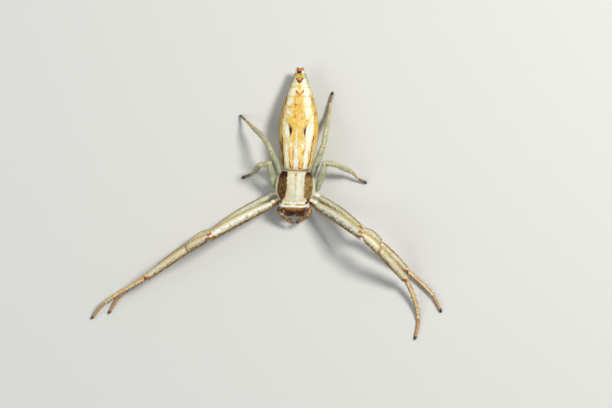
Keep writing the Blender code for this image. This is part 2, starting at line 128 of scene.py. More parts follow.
def curve_through(x, points):
    """A smooth curve through (place, value) points that never swings past them."""
    places, values = np.array(points, float).T
    steps = np.diff(places)
    slopes = np.diff(values) / steps
    tangents = np.zeros(len(places))
    same_way = slopes[:-1] * slopes[1:] > 0
    inner = np.zeros(len(slopes) - 1)
    before, after = slopes[:-1][same_way], slopes[1:][same_way]
    inner[same_way] = 2 * before * after / (before + after)
    tangents[1:-1] = inner
    tangents[0], tangents[-1] = slopes[0], slopes[-1]
    x = np.clip(x, places[0], places[-1])
    i = np.clip(np.searchsorted(places, x) - 1, 0, len(steps) - 1)
    t = (x - places[i]) / steps[i]
    return (values[i] * (1 + 2 * t) * (1 - t) ** 2 + values[i + 1] * t * t * (3 - 2 * t)
            + steps[i] * (tangents[i] * t * (1 - t) ** 2 - tangents[i + 1] * t * t * (1 - t)))


def streak_mask(u, v, points, soft):
    """1 on a line through (u, v, half width) points, with soft edges."""
    points = np.array(points, float)
    gap = np.hypot(u - points[0, 0], v - points[0, 1]) - points[0, 2]
    for (u0, v0, half0), (u1, v1, half1) in zip(points[:-1], points[1:]):
        du, dv = u1 - u0, v1 - v0
        t = np.clip(((u - u0) * du + (v - v0) * dv) / (du * du + dv * dv), 0, 1)
        gap = np.minimum(gap, np.hypot(u - u0 - t * du, v - v0 - t * dv) - (half0 + t * (half1 - half0)))
    return 1 - smooth(gap, -soft, soft)


# Whole numbers that turn a cell's place into a random-looking value
HASH_STEPS = np.array([73856093, 19349663, 83492791])
HASH_SEED_STEP = 2654435
HASH_STIR = 1274126177
HASH_TOP = 0xFFFF
CELL_SHIFT = 1000.0


def noise(points, fineness, seed):
    """Smooth random values from 0 to 1, the same each run. fineness is cells per millimetre."""
    scaled = points * fineness + CELL_SHIFT
    cell = np.floor(scaled).astype(np.int64)
    part = scaled - cell
    part = part * part * (3 - 2 * part)
    total = np.zeros(len(points))
    for corner in itertools.product((0, 1), repeat=3):
        corner = np.array(corner)
        key = (cell + corner) @ HASH_STEPS + seed * HASH_SEED_STEP
        key = (key ^ (key >> 13)) & 0xFFFFFFF
        key = (key * HASH_STIR) & 0x7FFFFFFF
        key = (key ^ (key >> 15)) & HASH_TOP
        weight = np.prod(np.where(corner, part, 1 - part), axis=1)
        total += weight * key / HASH_TOP
    return total


def unit(vectors):
    return vectors / np.maximum(np.linalg.norm(vectors, axis=-1, keepdims=True), 1e-12)


def mix(colour, other, amount):
    """Paint another colour over one, where amount is 1."""
    return colour + (other - colour) * np.asarray(amount, float)[..., None]


def layers(colour, coats):
    """Paint several coats over a colour, each given as its own colour and where it lies."""
    for other, amount in coats:
        colour = mix(colour, other, amount)
    return colour


def draw_marks(colour, marks, u, v, where):
    """Paint a table of marks: colour, strength, softness of the edges, and (u, v, half width) points."""
    for other, strength, soft, points in marks:
        colour = mix(colour, other, strength * streak_mask(u, v, points, soft) * where)
    return colour


# Meshes and materials

def add_mesh(name, vertices, faces, material, colours=None, bake_places=None):
    """A mesh object from millimetre vertices in the animal's frame. It rides on the body.

    faces is a list of index arrays, one row for each face."""
    mesh = bpy.data.meshes.new(name)
    placed = vertices * MM + WAIST
    sizes = np.concatenate([np.full(len(rows), rows.shape[1]) for rows in faces])
    flat = np.concatenate([rows.ravel() for rows in faces])
    mesh.vertices.add(len(placed))
    mesh.vertices.foreach_set("co", placed.ravel())
    mesh.loops.add(len(flat))
    mesh.loops.foreach_set("vertex_index", flat.astype(np.int32))
    mesh.polygons.add(len(sizes))
    mesh.polygons.foreach_set("loop_start", np.concatenate([[0], np.cumsum(sizes)[:-1]]).astype(np.int32))
    mesh.update(calc_edges=True)
    mesh.validate()
    mesh.polygons.foreach_set("use_smooth", np.ones(len(mesh.polygons), bool))
    if colours is not None:
        paint = mesh.color_attributes.new("Paint", "FLOAT_COLOR", "POINT")
        rgba = np.ones((len(placed), 4))
        rgba[:, :3] = np.clip(colours, 0, 1)
        paint.data.foreach_set("color", rgba.ravel())
    if bake_places is not None:
        places = mesh.uv_layers.new(name="OFBake")
        places.data.foreach_set("uv", bake_places[flat].ravel())
    mesh.materials.append(material)
    obj = bpy.data.objects.new(name, mesh)
    bpy.context.scene.collection.objects.link(obj)
    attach(obj, BODY)
    return obj


def closed_tube(grid, paint):
    """Vertices, quads, end triangles and colours of a grid (rings, sides, 3), closed at its ends."""
    rings, sides, _ = grid.shape
    ends = np.array([grid[0].mean(axis=0), grid[-1].mean(axis=0)])
    vertices = np.concatenate([grid.reshape(-1, 3), ends])
    colours = np.concatenate([paint, paint[:1], paint[-1:]])
    ring = np.arange(rings - 1)[:, None] * sides
    here = np.arange(sides)[None, :]
    after = (here + 1) % sides
    following = ring + sides
    quads = np.stack([ring + here, ring + after, following + after, following + here], axis=-1)
    quads = quads.reshape(-1, 4)
    first, last = rings * sides, rings * sides + 1
    top = (rings - 1) * sides
    here, after = here[0], after[0]
    fans = np.concatenate([np.stack([np.full(sides, first), after, here], axis=-1),
                           np.stack([np.full(sides, last), top + here, top + after], axis=-1)])
    turned = np.cross(np.roll(grid, -1, axis=1)[:-1] - grid[:-1], np.diff(grid, axis=0))
    outward = grid[:-1] - grid[:-1].mean(axis=1, keepdims=True)
    if np.sum(turned * outward) < 0:
        quads, fans = quads[:, ::-1], fans[:, ::-1]
    return vertices, quads, fans, colours


def add_grids(name, pieces, material):
    """One mesh of closed tubes. Each piece is a grid and the colours of its vertices."""
    vertices, quads, fans, colours = [], [], [], []
    count = 0
    for grid, paint in pieces:
        piece = closed_tube(grid, paint)
        vertices.append(piece[0])
        quads.append(piece[1] + count)
        fans.append(piece[2] + count)
        colours.append(piece[3])
        count += len(piece[0])
    return add_mesh(name, np.concatenate(vertices), [np.concatenate(quads), np.concatenate(fans)], material,
                    np.concatenate(colours))


LINE_STEPS = 40


def smooth_line(points, count):
    """Points at even steps along a smooth line through a few points."""
    points = np.array(points, float)
    padded = np.concatenate([2 * points[:1] - points[1:2], points, 2 * points[-1:] - points[-2:-1]])
    spans = []
    for i in range(len(points) - 1):
        t = np.linspace(0, 1, LINE_STEPS, endpoint=i == len(points) - 2)[:, None]
        a, b, c, d = padded[i:i + 4]
        spans.append(0.5 * (2 * b + (c - a) * t + (2 * a - 5 * b + 4 * c - d) * t ** 2
                            + (3 * b - a - 3 * c + d) * t ** 3))
    return resample(np.concatenate(spans), count)


def ring_angles(sides):
    """Angles of a ring's vertices, none of them straight up or straight sideways."""
    return 2 * math.pi * (np.arange(sides) + 0.5) / sides


def rounded(wave, fullness):
    """A cosine or sine, squared off as fullness falls below 1."""
    return np.sign(wave) * np.abs(wave) ** fullness


def tube(points, radii, rings, sides, flat=1.0):
    """Rings of a tube along a smooth line. radii is a list of (share of the length, radius) pairs."""
    centre = smooth_line(points, rings)
    slope = unit(np.gradient(centre, axis=0))
    helper = np.array([0.0, 0.0, 1.0]) if np.abs(slope[:, 2]).mean() < 0.8 else np.array([0.0, 1.0, 0.0])
    across = unit(np.cross(slope, helper))
    up = np.cross(across, slope)
    angle = ring_angles(sides)
    radius = curve_through(np.linspace(0, 1, rings), radii)[:, None, None]
    cosine, sine = np.cos(angle)[None, :, None], np.sin(angle)[None, :, None]
    return centre[:, None] + radius * (across[:, None] * cosine + up[:, None] * flat * sine)


def plain(grid, colour):
    """One colour for every vertex of a grid."""
    return np.repeat(np.asarray(colour)[None], grid.shape[0] * grid.shape[1], axis=0)


def grid_normals(grid):
    """Outward normals of a tube's vertices, (rings, sides, 3)."""
    along = np.gradient(grid, axis=0)
    around = np.roll(grid, -1, axis=1) - np.roll(grid, 1, axis=1)
    normals = unit(np.cross(around, along))
    inner = grid.mean(axis=1, keepdims=True)
    facing = np.sign(np.mean(np.sum(normals * (grid - inner), axis=-1)))
    return normals * facing


def resample(points, count):
    """Points at even steps along an open outline."""
    lengths = np.concatenate([[0], np.cumsum(np.linalg.norm(np.diff(points, axis=0), axis=1))])
    places = np.linspace(0, lengths[-1], count)
    return np.stack([np.interp(places, lengths, points[:, k]) for k in range(points.shape[1])], axis=1)


# Cuticle: how light spreads in it, its wax, its mottling and its relief
GLOW_TINT = (1.0, 0.6, 0.3)
GLOW_DEPTH = 0.15
WAX_ROUGHNESS = 0.28
CUTICLE_IOR = 1.5
RELIEF_DEPTH = 0.02
# Cells of the relief and of the mottling in a metre
GRAIN = 26000.0
MOTTLE_GRAIN = GRAIN / 6
MOTTLE_FROM, MOTTLE_TO = 0.25, 0.75
SMOOTHER, ROUGHER = 0.10, 0.14


def cuticle(name, roughness, subsurface, coat, relief=0.35, mottle=0.12, specular=0.5):
    """Painted cuticle: fine mottling, a grainy relief and a thin waxy coat."""
    material = bpy.data.materials.new(name)
    material.use_nodes = True
    nodes, links = material.node_tree.nodes, material.node_tree.links
    shader = nodes["Principled BSDF"]
    shader.inputs["Subsurface Weight"].default_value = subsurface
    shader.inputs["Subsurface Radius"].default_value = GLOW_TINT
    shader.inputs["Subsurface Scale"].default_value = GLOW_DEPTH * MM
    shader.inputs["Coat Weight"].default_value = coat
    shader.inputs["Coat Roughness"].default_value = WAX_ROUGHNESS
    shader.inputs["IOR"].default_value = CUTICLE_IOR
    shader.inputs["Specular IOR Level"].default_value = specular
    place = nodes.new("ShaderNodeTexCoord")

    def grain(scale, detail):
        texture = nodes.new("ShaderNodeTexNoise")
        texture.inputs["Scale"].default_value = scale
        texture.inputs["Detail"].default_value = detail
        links.new(place.outputs["Object"], texture.inputs["Vector"])
        return texture.outputs["Fac"]

    blotches = grain(MOTTLE_GRAIN, 5.0)

    def spread(low, high, start=0.0, end=1.0):
        """The blotches from start to end, turned into values from low to high."""
        values = nodes.new("ShaderNodeMapRange")
        for socket, value in (("From Min", start), ("From Max", end), ("To Min", low), ("To Max", high)):
            values.inputs[socket].default_value = value
        links.new(blotches, values.inputs["Value"])
        return values.outputs["Result"]

    paint = nodes.new("ShaderNodeAttribute")
    paint.attribute_name = "Paint"
    tint = nodes.new("ShaderNodeVectorMath")
    tint.operation = "SCALE"
    links.new(paint.outputs["Color"], tint.inputs["Vector"])
    links.new(spread(1.0 - mottle, 1.0 + mottle, MOTTLE_FROM, MOTTLE_TO), tint.inputs["Scale"])
    links.new(tint.outputs["Vector"], shader.inputs["Base Color"])
    links.new(spread(roughness - SMOOTHER, roughness + ROUGHER), shader.inputs["Roughness"])
    bump = nodes.new("ShaderNodeBump")
    bump.inputs["Strength"].default_value = relief
    bump.inputs["Distance"].default_value = RELIEF_DEPTH * MM
    links.new(grain(GRAIN, 3.0), bump.inputs["Height"])
    links.new(bump.outputs["Normal"], shader.inputs["Normal"])
    return material


# Hairs

# How far roots and directions are scattered, and the shares that vary a kind's length, width and cover
HAIR_JITTER = 0.012
HAIR_SPREAD = 0.13
HAIR_LENGTHS = (0.55, 1.25)
HAIR_WIDTHS = (0.7, 1.2)
HAIR_COVER = (0.6, 1.0)
SHORTEST_HAIR = 0.02
LOWEST_HAIR = 0.001
# How far a hair's outer half turns along the surface and down to it
HAIR_TURN, HAIR_DROOP = 0.35, 0.25
HAIR_SIDES = 3
HAIR_MIDDLE = 0.7
# Each hair has its own small patch on the unwrap, inside a free edge
BAKE_PATCH = 0.0015
BAKE_EDGE = 0.02
# The corners of a hair are three at its foot, three at its middle and the tip. These are its faces,
# and the places of the corners on the unwrap.
HAIR_FACES = np.array([(0, 2, 1), (0, 1, 4), (0, 4, 3), (1, 2, 5), (1, 5, 4), (2, 0, 3), (2, 3, 5),
                       (3, 4, 6), (4, 5, 6), (5, 3, 6)])
HAIR_BAKE = np.array([(-1, -1), (1, -1), (0, 1), (-0.5, -0.5), (0.5, -0.5), (0, 0.5), (0, 0)])


class Hair(NamedTuple):
    """One kind of hair. stand is 0 for hairs that lie along the surface and 1 for upright ones, and
    cover is how much of its colour shows over the skin's own."""
    count: int
    length: float
    width: float
    stand: float
    colour: np.ndarray
    cover: float


def scatter(grid, weight, count, rng):
    """Random vertices of a grid, with roots moved a little off them and places on the unwrap.

    weight says how likely each vertex is, before its share of the surface is counted."""
    rings, sides, _ = grid.shape
    along = np.linalg.norm(np.gradient(grid, axis=0), axis=-1)
    around = np.linalg.norm(np.roll(grid, -1, axis=1) - grid, axis=-1)
    chance = (along * around).ravel() * weight
    picks = rng.choice(len(chance), size=count, p=chance / chance.sum())
    normals = grid_normals(grid).reshape(-1, 3)[picks]
    jitter = rng.normal(size=(count, 3)) * HAIR_JITTER
    jitter -= normals * np.sum(jitter * normals, axis=1, keepdims=True)
    roots = grid.reshape(-1, 3)[picks] + jitter
    inside = 1 - 2 * BAKE_EDGE
    places = np.stack([BAKE_EDGE + inside * (picks // sides) / rings,
                       BAKE_EDGE + inside * (picks % sides) / sides], axis=1)
    return picks, roots, normals, places


def hair_group(grid, paint, hair, weight, rng, lean=None):
    """Hairs of one kind on a grid, as the arrays that add_hairs takes.

    lean is the way that lying hairs point, or else they point along the grid's rings."""
    picks, roots, normals, places = scatter(grid, weight, hair.count, rng)
    along = unit(np.gradient(grid, axis=0)).reshape(-1, 3)[picks]
    if lean is not None:
        along = unit(np.asarray(lean)[None] - normals * (normals @ np.asarray(lean))[:, None])
    scatter_ways = rng.normal(size=(hair.count, 3)) * HAIR_SPREAD
    ways = unit(along * (1 - hair.stand) + normals * hair.stand + scatter_ways)
    lengths = hair.length * rng.uniform(*HAIR_LENGTHS, hair.count)
    room = roots[:, 2] / np.maximum(-ways[:, 2], 0.02)
    lengths = np.maximum(np.minimum(lengths, 0.9 * room), SHORTEST_HAIR)
    bends = along * HAIR_TURN - normals * HAIR_DROOP
    colours = mix(paint[picks], hair.colour, hair.cover * rng.uniform(*HAIR_COVER, hair.count))
    widths = hair.width * rng.uniform(*HAIR_WIDTHS, hair.count)
    return roots, ways, lengths, widths, bends, colours, places


def add_hairs(name, groups, material):
    """Closed, tapered three-sided hairs, all in one mesh."""
    roots, ways, lengths, widths, bends, colours, places = (np.concatenate(parts) for parts in zip(*groups))
    helper = np.where(np.abs(ways[:, 2:3]) < 0.8, [[0.0, 0.0, 1.0]], [[1.0, 0.0, 0.0]])
    across = unit(np.cross(ways, helper))
    other = np.cross(ways, across)
    middle = roots + ways * lengths[:, None] * 0.5
    tips = middle + unit(ways + bends) * lengths[:, None] * 0.5
    foot = roots - ways * widths[:, None]
    corners = []
    for centre, size in ((foot, 1.0), (middle, HAIR_MIDDLE)):
        for k in range(HAIR_SIDES):
            turn = 2 * math.pi * k / HAIR_SIDES
            offset = across * math.cos(turn) + other * math.sin(turn)
            corners.append(centre + offset * (widths * size)[:, None])
    corners.append(tips)
    vertices = np.stack(corners, axis=1).reshape(-1, 3)
    vertices[:, 2] = np.maximum(vertices[:, 2], LOWEST_HAIR)
    faces = (np.arange(len(roots))[:, None, None] * len(corners) + HAIR_FACES[None]).reshape(-1, 3)
    bake_places = (places[:, None] + BAKE_PATCH * HAIR_BAKE[None]).reshape(-1, 2)
    colours = np.repeat(colours, len(corners), axis=0)
    return add_mesh(name, vertices, [faces], material, colours, bake_places)


# Legs: the skeleton repeats the named sizes of the solids

PARTS = ("coxa", "femur", "patella", "tibia", "metatarsus", "tarsus")
COXA, FEMUR, PATELLA, TIBIA, METATARSUS, TARSUS = range(6)
CURVED_PARTS = (METATARSUS, TARSUS)
FRONT_PAIRS = (1, 2)
LENGTHS = {
    1: (1.05, 5.40, 2.00, 3.95, 3.80, 1.75),
    2: (1.20, 5.00, 2.10, 3.55, 3.10, 1.55),
    3: (1.00, 2.50, 0.80, 1.75, 0.90, 0.75),
    4: (0.68, 3.00, 1.05, 1.75, 1.10, 0.85),
}
COXA_ROOTS = {
    1: (0.88, -2.22, 1.12),
    2: (0.84, -1.66, 1.10),
    3: (0.72, -1.20, 1.05),
    4: (0.52, -0.72, 1.00),
}
TIP_HEIGHTS = {1: 0.13, 2: 0.13, 3: 0.12, 4: 0.12}
POSE = {
    (1, "right"): (1.08, (-26, 17), (-31, 25), (-30, -26), (-36, -13), (-33, -15), (-49, None)),
    (1, "left"): (0.91, (-26, 17), (-30, 27), (-39, -6), (-48, -35), (-71, -20), (-97, None)),
    (2, "right"): (1.05, (-20, -8), (-34, 3), (-32, 3), (-38, -8), (-38, -7), (-58, None)),
    (2, "left"): (0.90, (-20, -8), (-34, 18), (-36, -24), (-44, -21), (-42, -3), (-61, None)),
    (3, "right"): (0.99, (-12, 4), (80, 41), (-11, -12), (-41, -66), (-34, -60), (-24, None)),
    (3, "left"): (1.00, (-12, 4), (73, 31), (-5, -19), (-23, -41), (-43, -37), (-28, None)),
    (4, "right"): (1.00, (14, 4), (70, 40), (56, -31), (40, -33), (40, -44), (36, None)),
    (4, "left"): (1.00, (14, 4), (70, 22), (85, -25), (86, -39), (86, -17), (81, None)),
}

# The thickness in life, as radii at the start, middle and end of each part
RADII = {
    1: ((0.22, 0.25, 0.24), (0.25, 0.39, 0.32), (0.28, 0.33, 0.31), (0.29, 0.305, 0.24),
        (0.17, 0.155, 0.125), (0.105, 0.09, 0.07)),
    2: ((0.20, 0.22, 0.22), (0.22, 0.30, 0.26), (0.25, 0.28, 0.26), (0.25, 0.26, 0.21),
        (0.15, 0.135, 0.11), (0.095, 0.085, 0.065)),
    3: ((0.18, 0.21, 0.20), (0.19, 0.27, 0.20), (0.19, 0.21, 0.19), (0.18, 0.20, 0.15),
        (0.125, 0.115, 0.10), (0.10, 0.095, 0.07)),
    4: ((0.18, 0.20, 0.20), (0.18, 0.26, 0.20), (0.19, 0.21, 0.19), (0.18, 0.20, 0.15),
        (0.125, 0.115, 0.10), (0.10, 0.095, 0.07)),
}
LEG_SIDES = {1: 56, 2: 48, 3: 40, 4: 40}
FINE_STEP = 0.022
COARSE_STEP = 0.055
FINE_REACH = 0.36
# How far the middle of each straight part bows level towards the tail, by pair
LEG_BOWS = {
    1: {"femur": 0.09, "patella": 0.05, "tibia": 0.03},
    2: {"femur": 0.13, "patella": 0.20, "tibia": 0.06},
}


def mirrored(point, side):
    sign = 1.0 if side == "left" else -1.0
    return np.array([sign * point[0], point[1], point[2]])


def aim(heading, rise, side):
    """Unit vector for an out-heading (0 is sideways, + to the tail) and a rise, in degrees."""
    turn, lift = math.radians(heading), math.radians(rise)
    level = math.cos(lift)
    return mirrored((math.cos(turn) * level, math.sin(turn) * level, math.sin(lift)), side)


def leg_joints(pair, side):
    reach, *angles = POSE[pair, side]
    points, ways = [mirrored(COXA_ROOTS[pair], side)], []
    for part_length, (heading, rise) in zip(LENGTHS[pair], angles):
        length = part_length * reach
        if rise is None:
            rise = math.degrees(math.asin((TIP_HEIGHTS[pair] - points[-1][2]) / length))
        ways.append(aim(heading, rise, side))
        points.append(points[-1] + ways[-1] * length)
    return points, ways


def part_stations(length):
    """Distances along a part, finer near its joints."""
    fine = min(FINE_REACH, length / 3)
    start = np.arange(0, fine, FINE_STEP)
    middle = np.linspace(fine, length - fine, max(3, int((length - 2 * fine) / COARSE_STEP)))
    end = length - start[::-1]
    return np.concatenate([start, middle, end])


def three_point(values, t):
    start, middle, end = values
    bulge = 4 * (middle - (start + end) / 2)
    return start + (end - start) * t + bulge * t * (1 - t)


# The ends of a part: its start and growth over the shoulder, and its drop at the far end
SHOULDER = (0.70, 0.30)
SHOULDER_REACH = 0.75
SHOULDER_CURVE = 0.9
END_DROP = (0.74, 0.26)
END_REACH = 0.075
TIP_REACH = 0.10
TIP_BLUNTNESS = 0.02
# Height, distance from the far end and width of the raised lip, and of the trochanter, which is the
# short knob after a waist
LIP = ((0.075, 0.12, 0.06), (-0.05, 0.27, 0.07))
TROCHANTER = ((-0.17, 0.42, 0.08), (0.04, 0.22, 0.12))


def part_radius(values, d, length, index):
    """Radius along a part: a round shoulder, a swollen middle and a raised lip at the far end."""
    left = length - d
    turn = np.clip(d / (SHOULDER_REACH * values[0]), 0, 1) * math.pi / 2
    shoulder = SHOULDER[0] + SHOULDER[1] * np.sin(turn) ** SHOULDER_CURVE
    lip = add_humps(1, left, TROCHANTER if index == COXA else LIP)
    drop = END_DROP[0] + END_DROP[1] * smooth(left, 0.0, END_REACH)
    if index == TARSUS:
        drop = np.sqrt(np.clip(left / TIP_REACH, TIP_BLUNTNESS, 1.0))
        lip = 1.0
    return three_point(values, d / length) * shoulder * lip * drop


def part_line(start, end, way, planes, t, stations, bow):
    """The middle line of a leg part and its direction: straight with a level bow, or curved in the feet."""
    if planes is not None:
        length = np.linalg.norm(end - start)
        curve = np.stack([2 * t ** 3 - 3 * t ** 2 + 1, 3 * t ** 2 - 2 * t ** 3,
                          length * (t ** 3 - 2 * t ** 2 + t), length * (t ** 3 - t ** 2)], axis=1)
        centre = curve @ np.stack([start, end, planes[0], planes[1]])
        return centre, unit(np.gradient(centre, axis=0))
    to_tail = unit(np.array([-way[1], way[0], 0.0])) * math.copysign(1, way[0])
    bows = bow * np.sin(math.pi * t)
    return start + way * stations[:, None] + to_tail * bows[:, None], np.repeat(way[None], len(t), axis=0)


def leg_surface(pair, side):
    """The rings of a whole leg, with each vertex's part, place along it and direction round it."""
    points, ways = leg_joints(pair, side)
    sides = LEG_SIDES[pair]
    angle = ring_angles(sides)
    out_sign = 1.0 if side == "left" else -1.0
    rings, facts = [], []
    for index, name in enumerate(PARTS):
        start, end, way = points[index], points[index + 1], ways[index]
        before = ways[max(index - 1, 0)]
        after = ways[min(index + 1, len(ways) - 1)]
        planes = [unit(before + way), unit(way + after)]
        if index == COXA:
            planes[0] = way
        curved = index in CURVED_PARTS
        length = np.linalg.norm(end - start)
        stations = part_stations(length)
        if index != TARSUS:
            stations = stations[:-1]
        bow = LEG_BOWS.get(pair, {}).get(name, 0)
        ends = planes if curved else None
        centre, slope = part_line(start, end, way, ends, stations / length, stations, bow)
        across = unit(np.cross(slope, [0, 0, 1.0]))
        up = np.cross(across, slope)
        ring = across[:, None] * np.cos(angle)[None, :, None] + up[:, None] * np.sin(angle)[None, :, None]
        radius = part_radius(RADII[pair][index], stations, length, index)
        swell = leg_relief(index, pair, stations, length, angle, out_sign)
        offset = ring * (radius[:, None] * swell)[..., None]
        shear = np.zeros((len(stations), sides))
        if not curved:
            # lean the rings near a joint into the plane between its two parts
            for plane, away in ((planes[0], stations), (planes[1], length - stations)):
                lean = -(offset @ plane) / (way @ plane) + (offset @ way)
                reach = 3 * np.abs(lean[0 if away is stations else -1]).max() + 0.05
                keep = np.clip(1 - away / reach, 0, 1) ** 2
                shear += lean * keep[:, None]
        rings.append(centre[:, None] + offset + slope[:, None] * shear[..., None])
        fore = np.cos(angle) * out_sign
        facts.append(np.stack(np.broadcast_arrays(
            float(index), stations[:, None], length, np.sin(angle)[None, :], fore[None, :]), axis=-1))
    grid = np.concatenate(rings)
    grid[..., 2] = np.maximum(grid[..., 2], 0.0)
    return grid, np.concatenate(facts)


# Relief beside the joints: height, distance from the joint and width
END_CONDYLE = (0.07, 0.10, 0.07)
END_CREST = (0.02, 0.04, 0.10)
START_CONDYLE = (0.06, 0.10, 0.07)
KNEE_NOTCH = (-0.62, 0.18, 0.28)
GROOVES = 9
GROOVE_DEPTH = 0.008


def leg_relief(index, pair, d, length, angle, out_sign):
    """Small departures from round: condyles beside each joint, a notch at the knee and faint grooves."""
    left = length - d
    beside = np.abs(np.cos(angle)) ** 6
    above = np.clip(np.sin(angle), 0, 1) ** 2
    ahead = np.clip(np.cos(angle) * out_sign, 0, 1) ** 1.5
    rows = []
    if FEMUR <= index <= TIBIA:
        rows += [(left, END_CONDYLE, beside), (left, END_CREST, above)]
    if index == PATELLA and pair == 1:
        rows.append((d, KNEE_NOTCH, ahead))
    if PATELLA <= index <= METATARSUS:
        rows.append((d, START_CONDYLE, beside))
    relief = np.ones((len(d), len(angle)))
    for place, (height, centre, width), around in rows:
        relief += height * hump(place, centre, width)[:, None] * around[None]
    body = smooth(d, 0.2, 0.5) * smooth(left, 0.2, 0.5)
    relief += GROOVE_DEPTH * body[:, None] * np.cos(GROOVES * angle)[None]
    return relief


# How strongly the front legs carry their markings, by pair. The edges that face each other in a pair
# of front legs are paler.
MARK_SHARES = {
    1: {"head edge": 1.0, "tail edge": 0.28, "olive line": 0.22, "gold line": 0.30, "outline": 0.20,
        "head specks": 0.85, "tail specks": 0.25, "teeth": 0.60},
    2: {"head edge": 0.35, "tail edge": 1.0, "olive line": 0.45, "gold line": 0.50, "outline": 0.80,
        "head specks": 0.40, "tail specks": 0.45, "teeth": 0.20},
}
# Faint lines along a front leg, and its row of black dots: the step between them, size and place
FAINT_LINES = (-0.20, 0.12, 0.40)
DOT_STEP, DOT_SIZE, DOT_FORE = 0.75, 0.045, 0.10
# Spots beside the joints: colour, part, whether from its far end, distance and reach along the part,
# and place and width towards the head side
JOINT_SPOTS = (
    (CHESTNUT, FEMUR, True, 0.14, 0.19, -0.35, 0.34),
    (COXA_BROWN, FEMUR, True, 0.16, 0.18, 0.65, 0.26),
    (RED_BROWN, FEMUR, True, 0.03, 0.05, 0.55, 0.35),
    (COXA_BROWN, PATELLA, False, 0.12, 0.14, 0.30, 0.30),
    (CHESTNUT, TIBIA, True, 0.08, 0.17, 0.30, 0.70),
    (COXA_BROWN, TIBIA, True, 0.26, 0.10, 0.50, 0.40),
    (BROWN, METATARSUS, False, 0.06, 0.09, 0.30, 0.70),
)
# Dark membrane at the far end and at the start of each part, from the coxa to the tarsus
END_DARK = np.array([0.0, 0.25, 0.85, 0.80, 0.35, 0.0])
START_DARK = np.array([0.0, 0.0, 0.15, 0.30, 0.80, 0.35])
# Orange-brown of the coxa on the first pair of legs, and on the others
KNOB_SHADE = (0.95, 0.30)


def paint_front_leg(pair, p, part, d, up, fore, coarse, fine):
    """Cream with a white face on top that is partly a painted highlight, tan edges, yellow lines and brown
    specks that thicken to the head side.
    """
    share = MARK_SHARES[pair]
    edge = np.abs(fore)
    top = up > 0
    not_below = smooth(up, -0.7, -0.2)
    wander = 0.12 * (coarse - 0.5)
    # the white face along the top: partly the leg's own white, partly a painted highlight
    middle = smooth(up, -0.1, 0.4) * (1 - smooth(np.abs(fore - 0.08 + wander), 0.36, 0.80))
    blotch = smooth(noise(p, 6.5, pair + 8), 0.42, 0.66)
    edge_share = np.where(fore < 0, share["tail edge"], share["head edge"])
    rosy = smooth(noise(p, 5.0, pair + 9), 0.45, 0.75)
    gold = stripe(fore, -0.42 + wander, 0.05, 0.05) * top
    outline = stripe(fore, -0.93 + wander, 0.07, 0.05)
    colour = layers(np.repeat(LEG_CREAM[None], len(p), axis=0), (
        (LEG_WHITE, (0.95 - 0.30 * (part > FEMUR)) * middle),
        (LEG_TAN, edge_share * smooth(edge, 0.35, 0.85) * (0.30 + 0.60 * blotch)),
        (PEACH, 0.45 * (part > FEMUR) * rosy),
        (OLIVE_YELLOW, share["olive line"] * stripe(fore, -0.64 + wander, 0.14, 0.10) * (up > -0.2)),
        (GOLD, share["gold line"] * gold * smooth(coarse, 0.3, 0.6)),
        (BROWN, share["outline"] * outline * smooth(up, -0.3, 0.0)),
    ))
    for line in FAINT_LINES:
        faint = smooth(noise(p, 1.6, int(50 + 40 * line)), 0.45, 0.7)
        colour = mix(colour, OLIVE_YELLOW, 0.35 * faint * stripe(fore, line + wander, 0.035, 0.03) * top)
    if pair == 2:
        colour = mix(colour, PALE_GREEN, 0.55 * (part < TIBIA) * smooth(coarse, 0.2, 0.6))
        colour = mix(colour, BROWN, 0.55 * (part == PATELLA) * stripe(fore, -0.30, 0.05, 0.04))
    specks = smooth(fine, 0.55, 0.63)
    teeth = smooth(noise(p, 14.0, pair + 11), 0.40, 0.60)
    dot = stripe(np.mod(d + 0.2, DOT_STEP), 0.37, DOT_SIZE, 0.03) * stripe(fore, DOT_FORE, 0.08, 0.05) * top
    return layers(colour, (
        (BUFF, 0.65 * smooth(-up, 0.15, 0.75)),
        (BROWN, share["head specks"] * specks * smooth(fore, 0.12, 0.60) * not_below),
        (BROWN, share["tail specks"] * specks * smooth(-fore, 0.55, 0.85) * not_below),
        (BROWN, share["teeth"] * teeth * smooth(fore, 0.78, 0.95) * (part < METATARSUS)),
        (SOOT, 0.90 * dot * (part == FEMUR) * smooth(d, 0.4, 0.8)),
    ))


def paint_hind_leg(side, p, part, up, fore, coarse, fine):
    """Translucent grey-green with paler blotches, a pale line on top that is a painted highlight, buff
    edges, and olive specks that partly paint shade towards the edges.
    """
    edge = np.abs(fore)
    # painted highlight: a pale line along the top of the leg
    painted_highlight_line = 0.60 * stripe(fore, 0.15, 0.10, 0.10) * smooth(coarse, 0.35, 0.55) * (up > 0)
    colour = layers(np.repeat(GREEN_GREY[None], len(p), axis=0), (
        (PALE_GREEN, 0.35 + 0.6 * smooth(coarse, 0.35, 0.75)),
        (LEG_WHITE, painted_highlight_line),
        (BUFF, 0.65 * smooth(edge, 0.72, 0.95)),
        # olive specks towards the edges: partly the leg's own specks, partly painted shade that darkens the
        # edges
        (OLIVE_YELLOW, 0.45 * smooth(fine, 0.55, 0.75) * smooth(edge, 0.4, 0.8)),
        (BUFF, 0.45 * (part == TIBIA) * smooth(fine, 0.3, 0.7)),
    ))
    # the right hind legs' tibiae and metatarsi are browner: partly their own colour, partly painted shade
    # where they reach down
    if side == "right":
        browner = 0.22 * (part == TIBIA) + 0.40 * (part == METATARSUS)
        colour = mix(colour, BROWN, browner * smooth(coarse, 0.2, 0.6))
    return colour


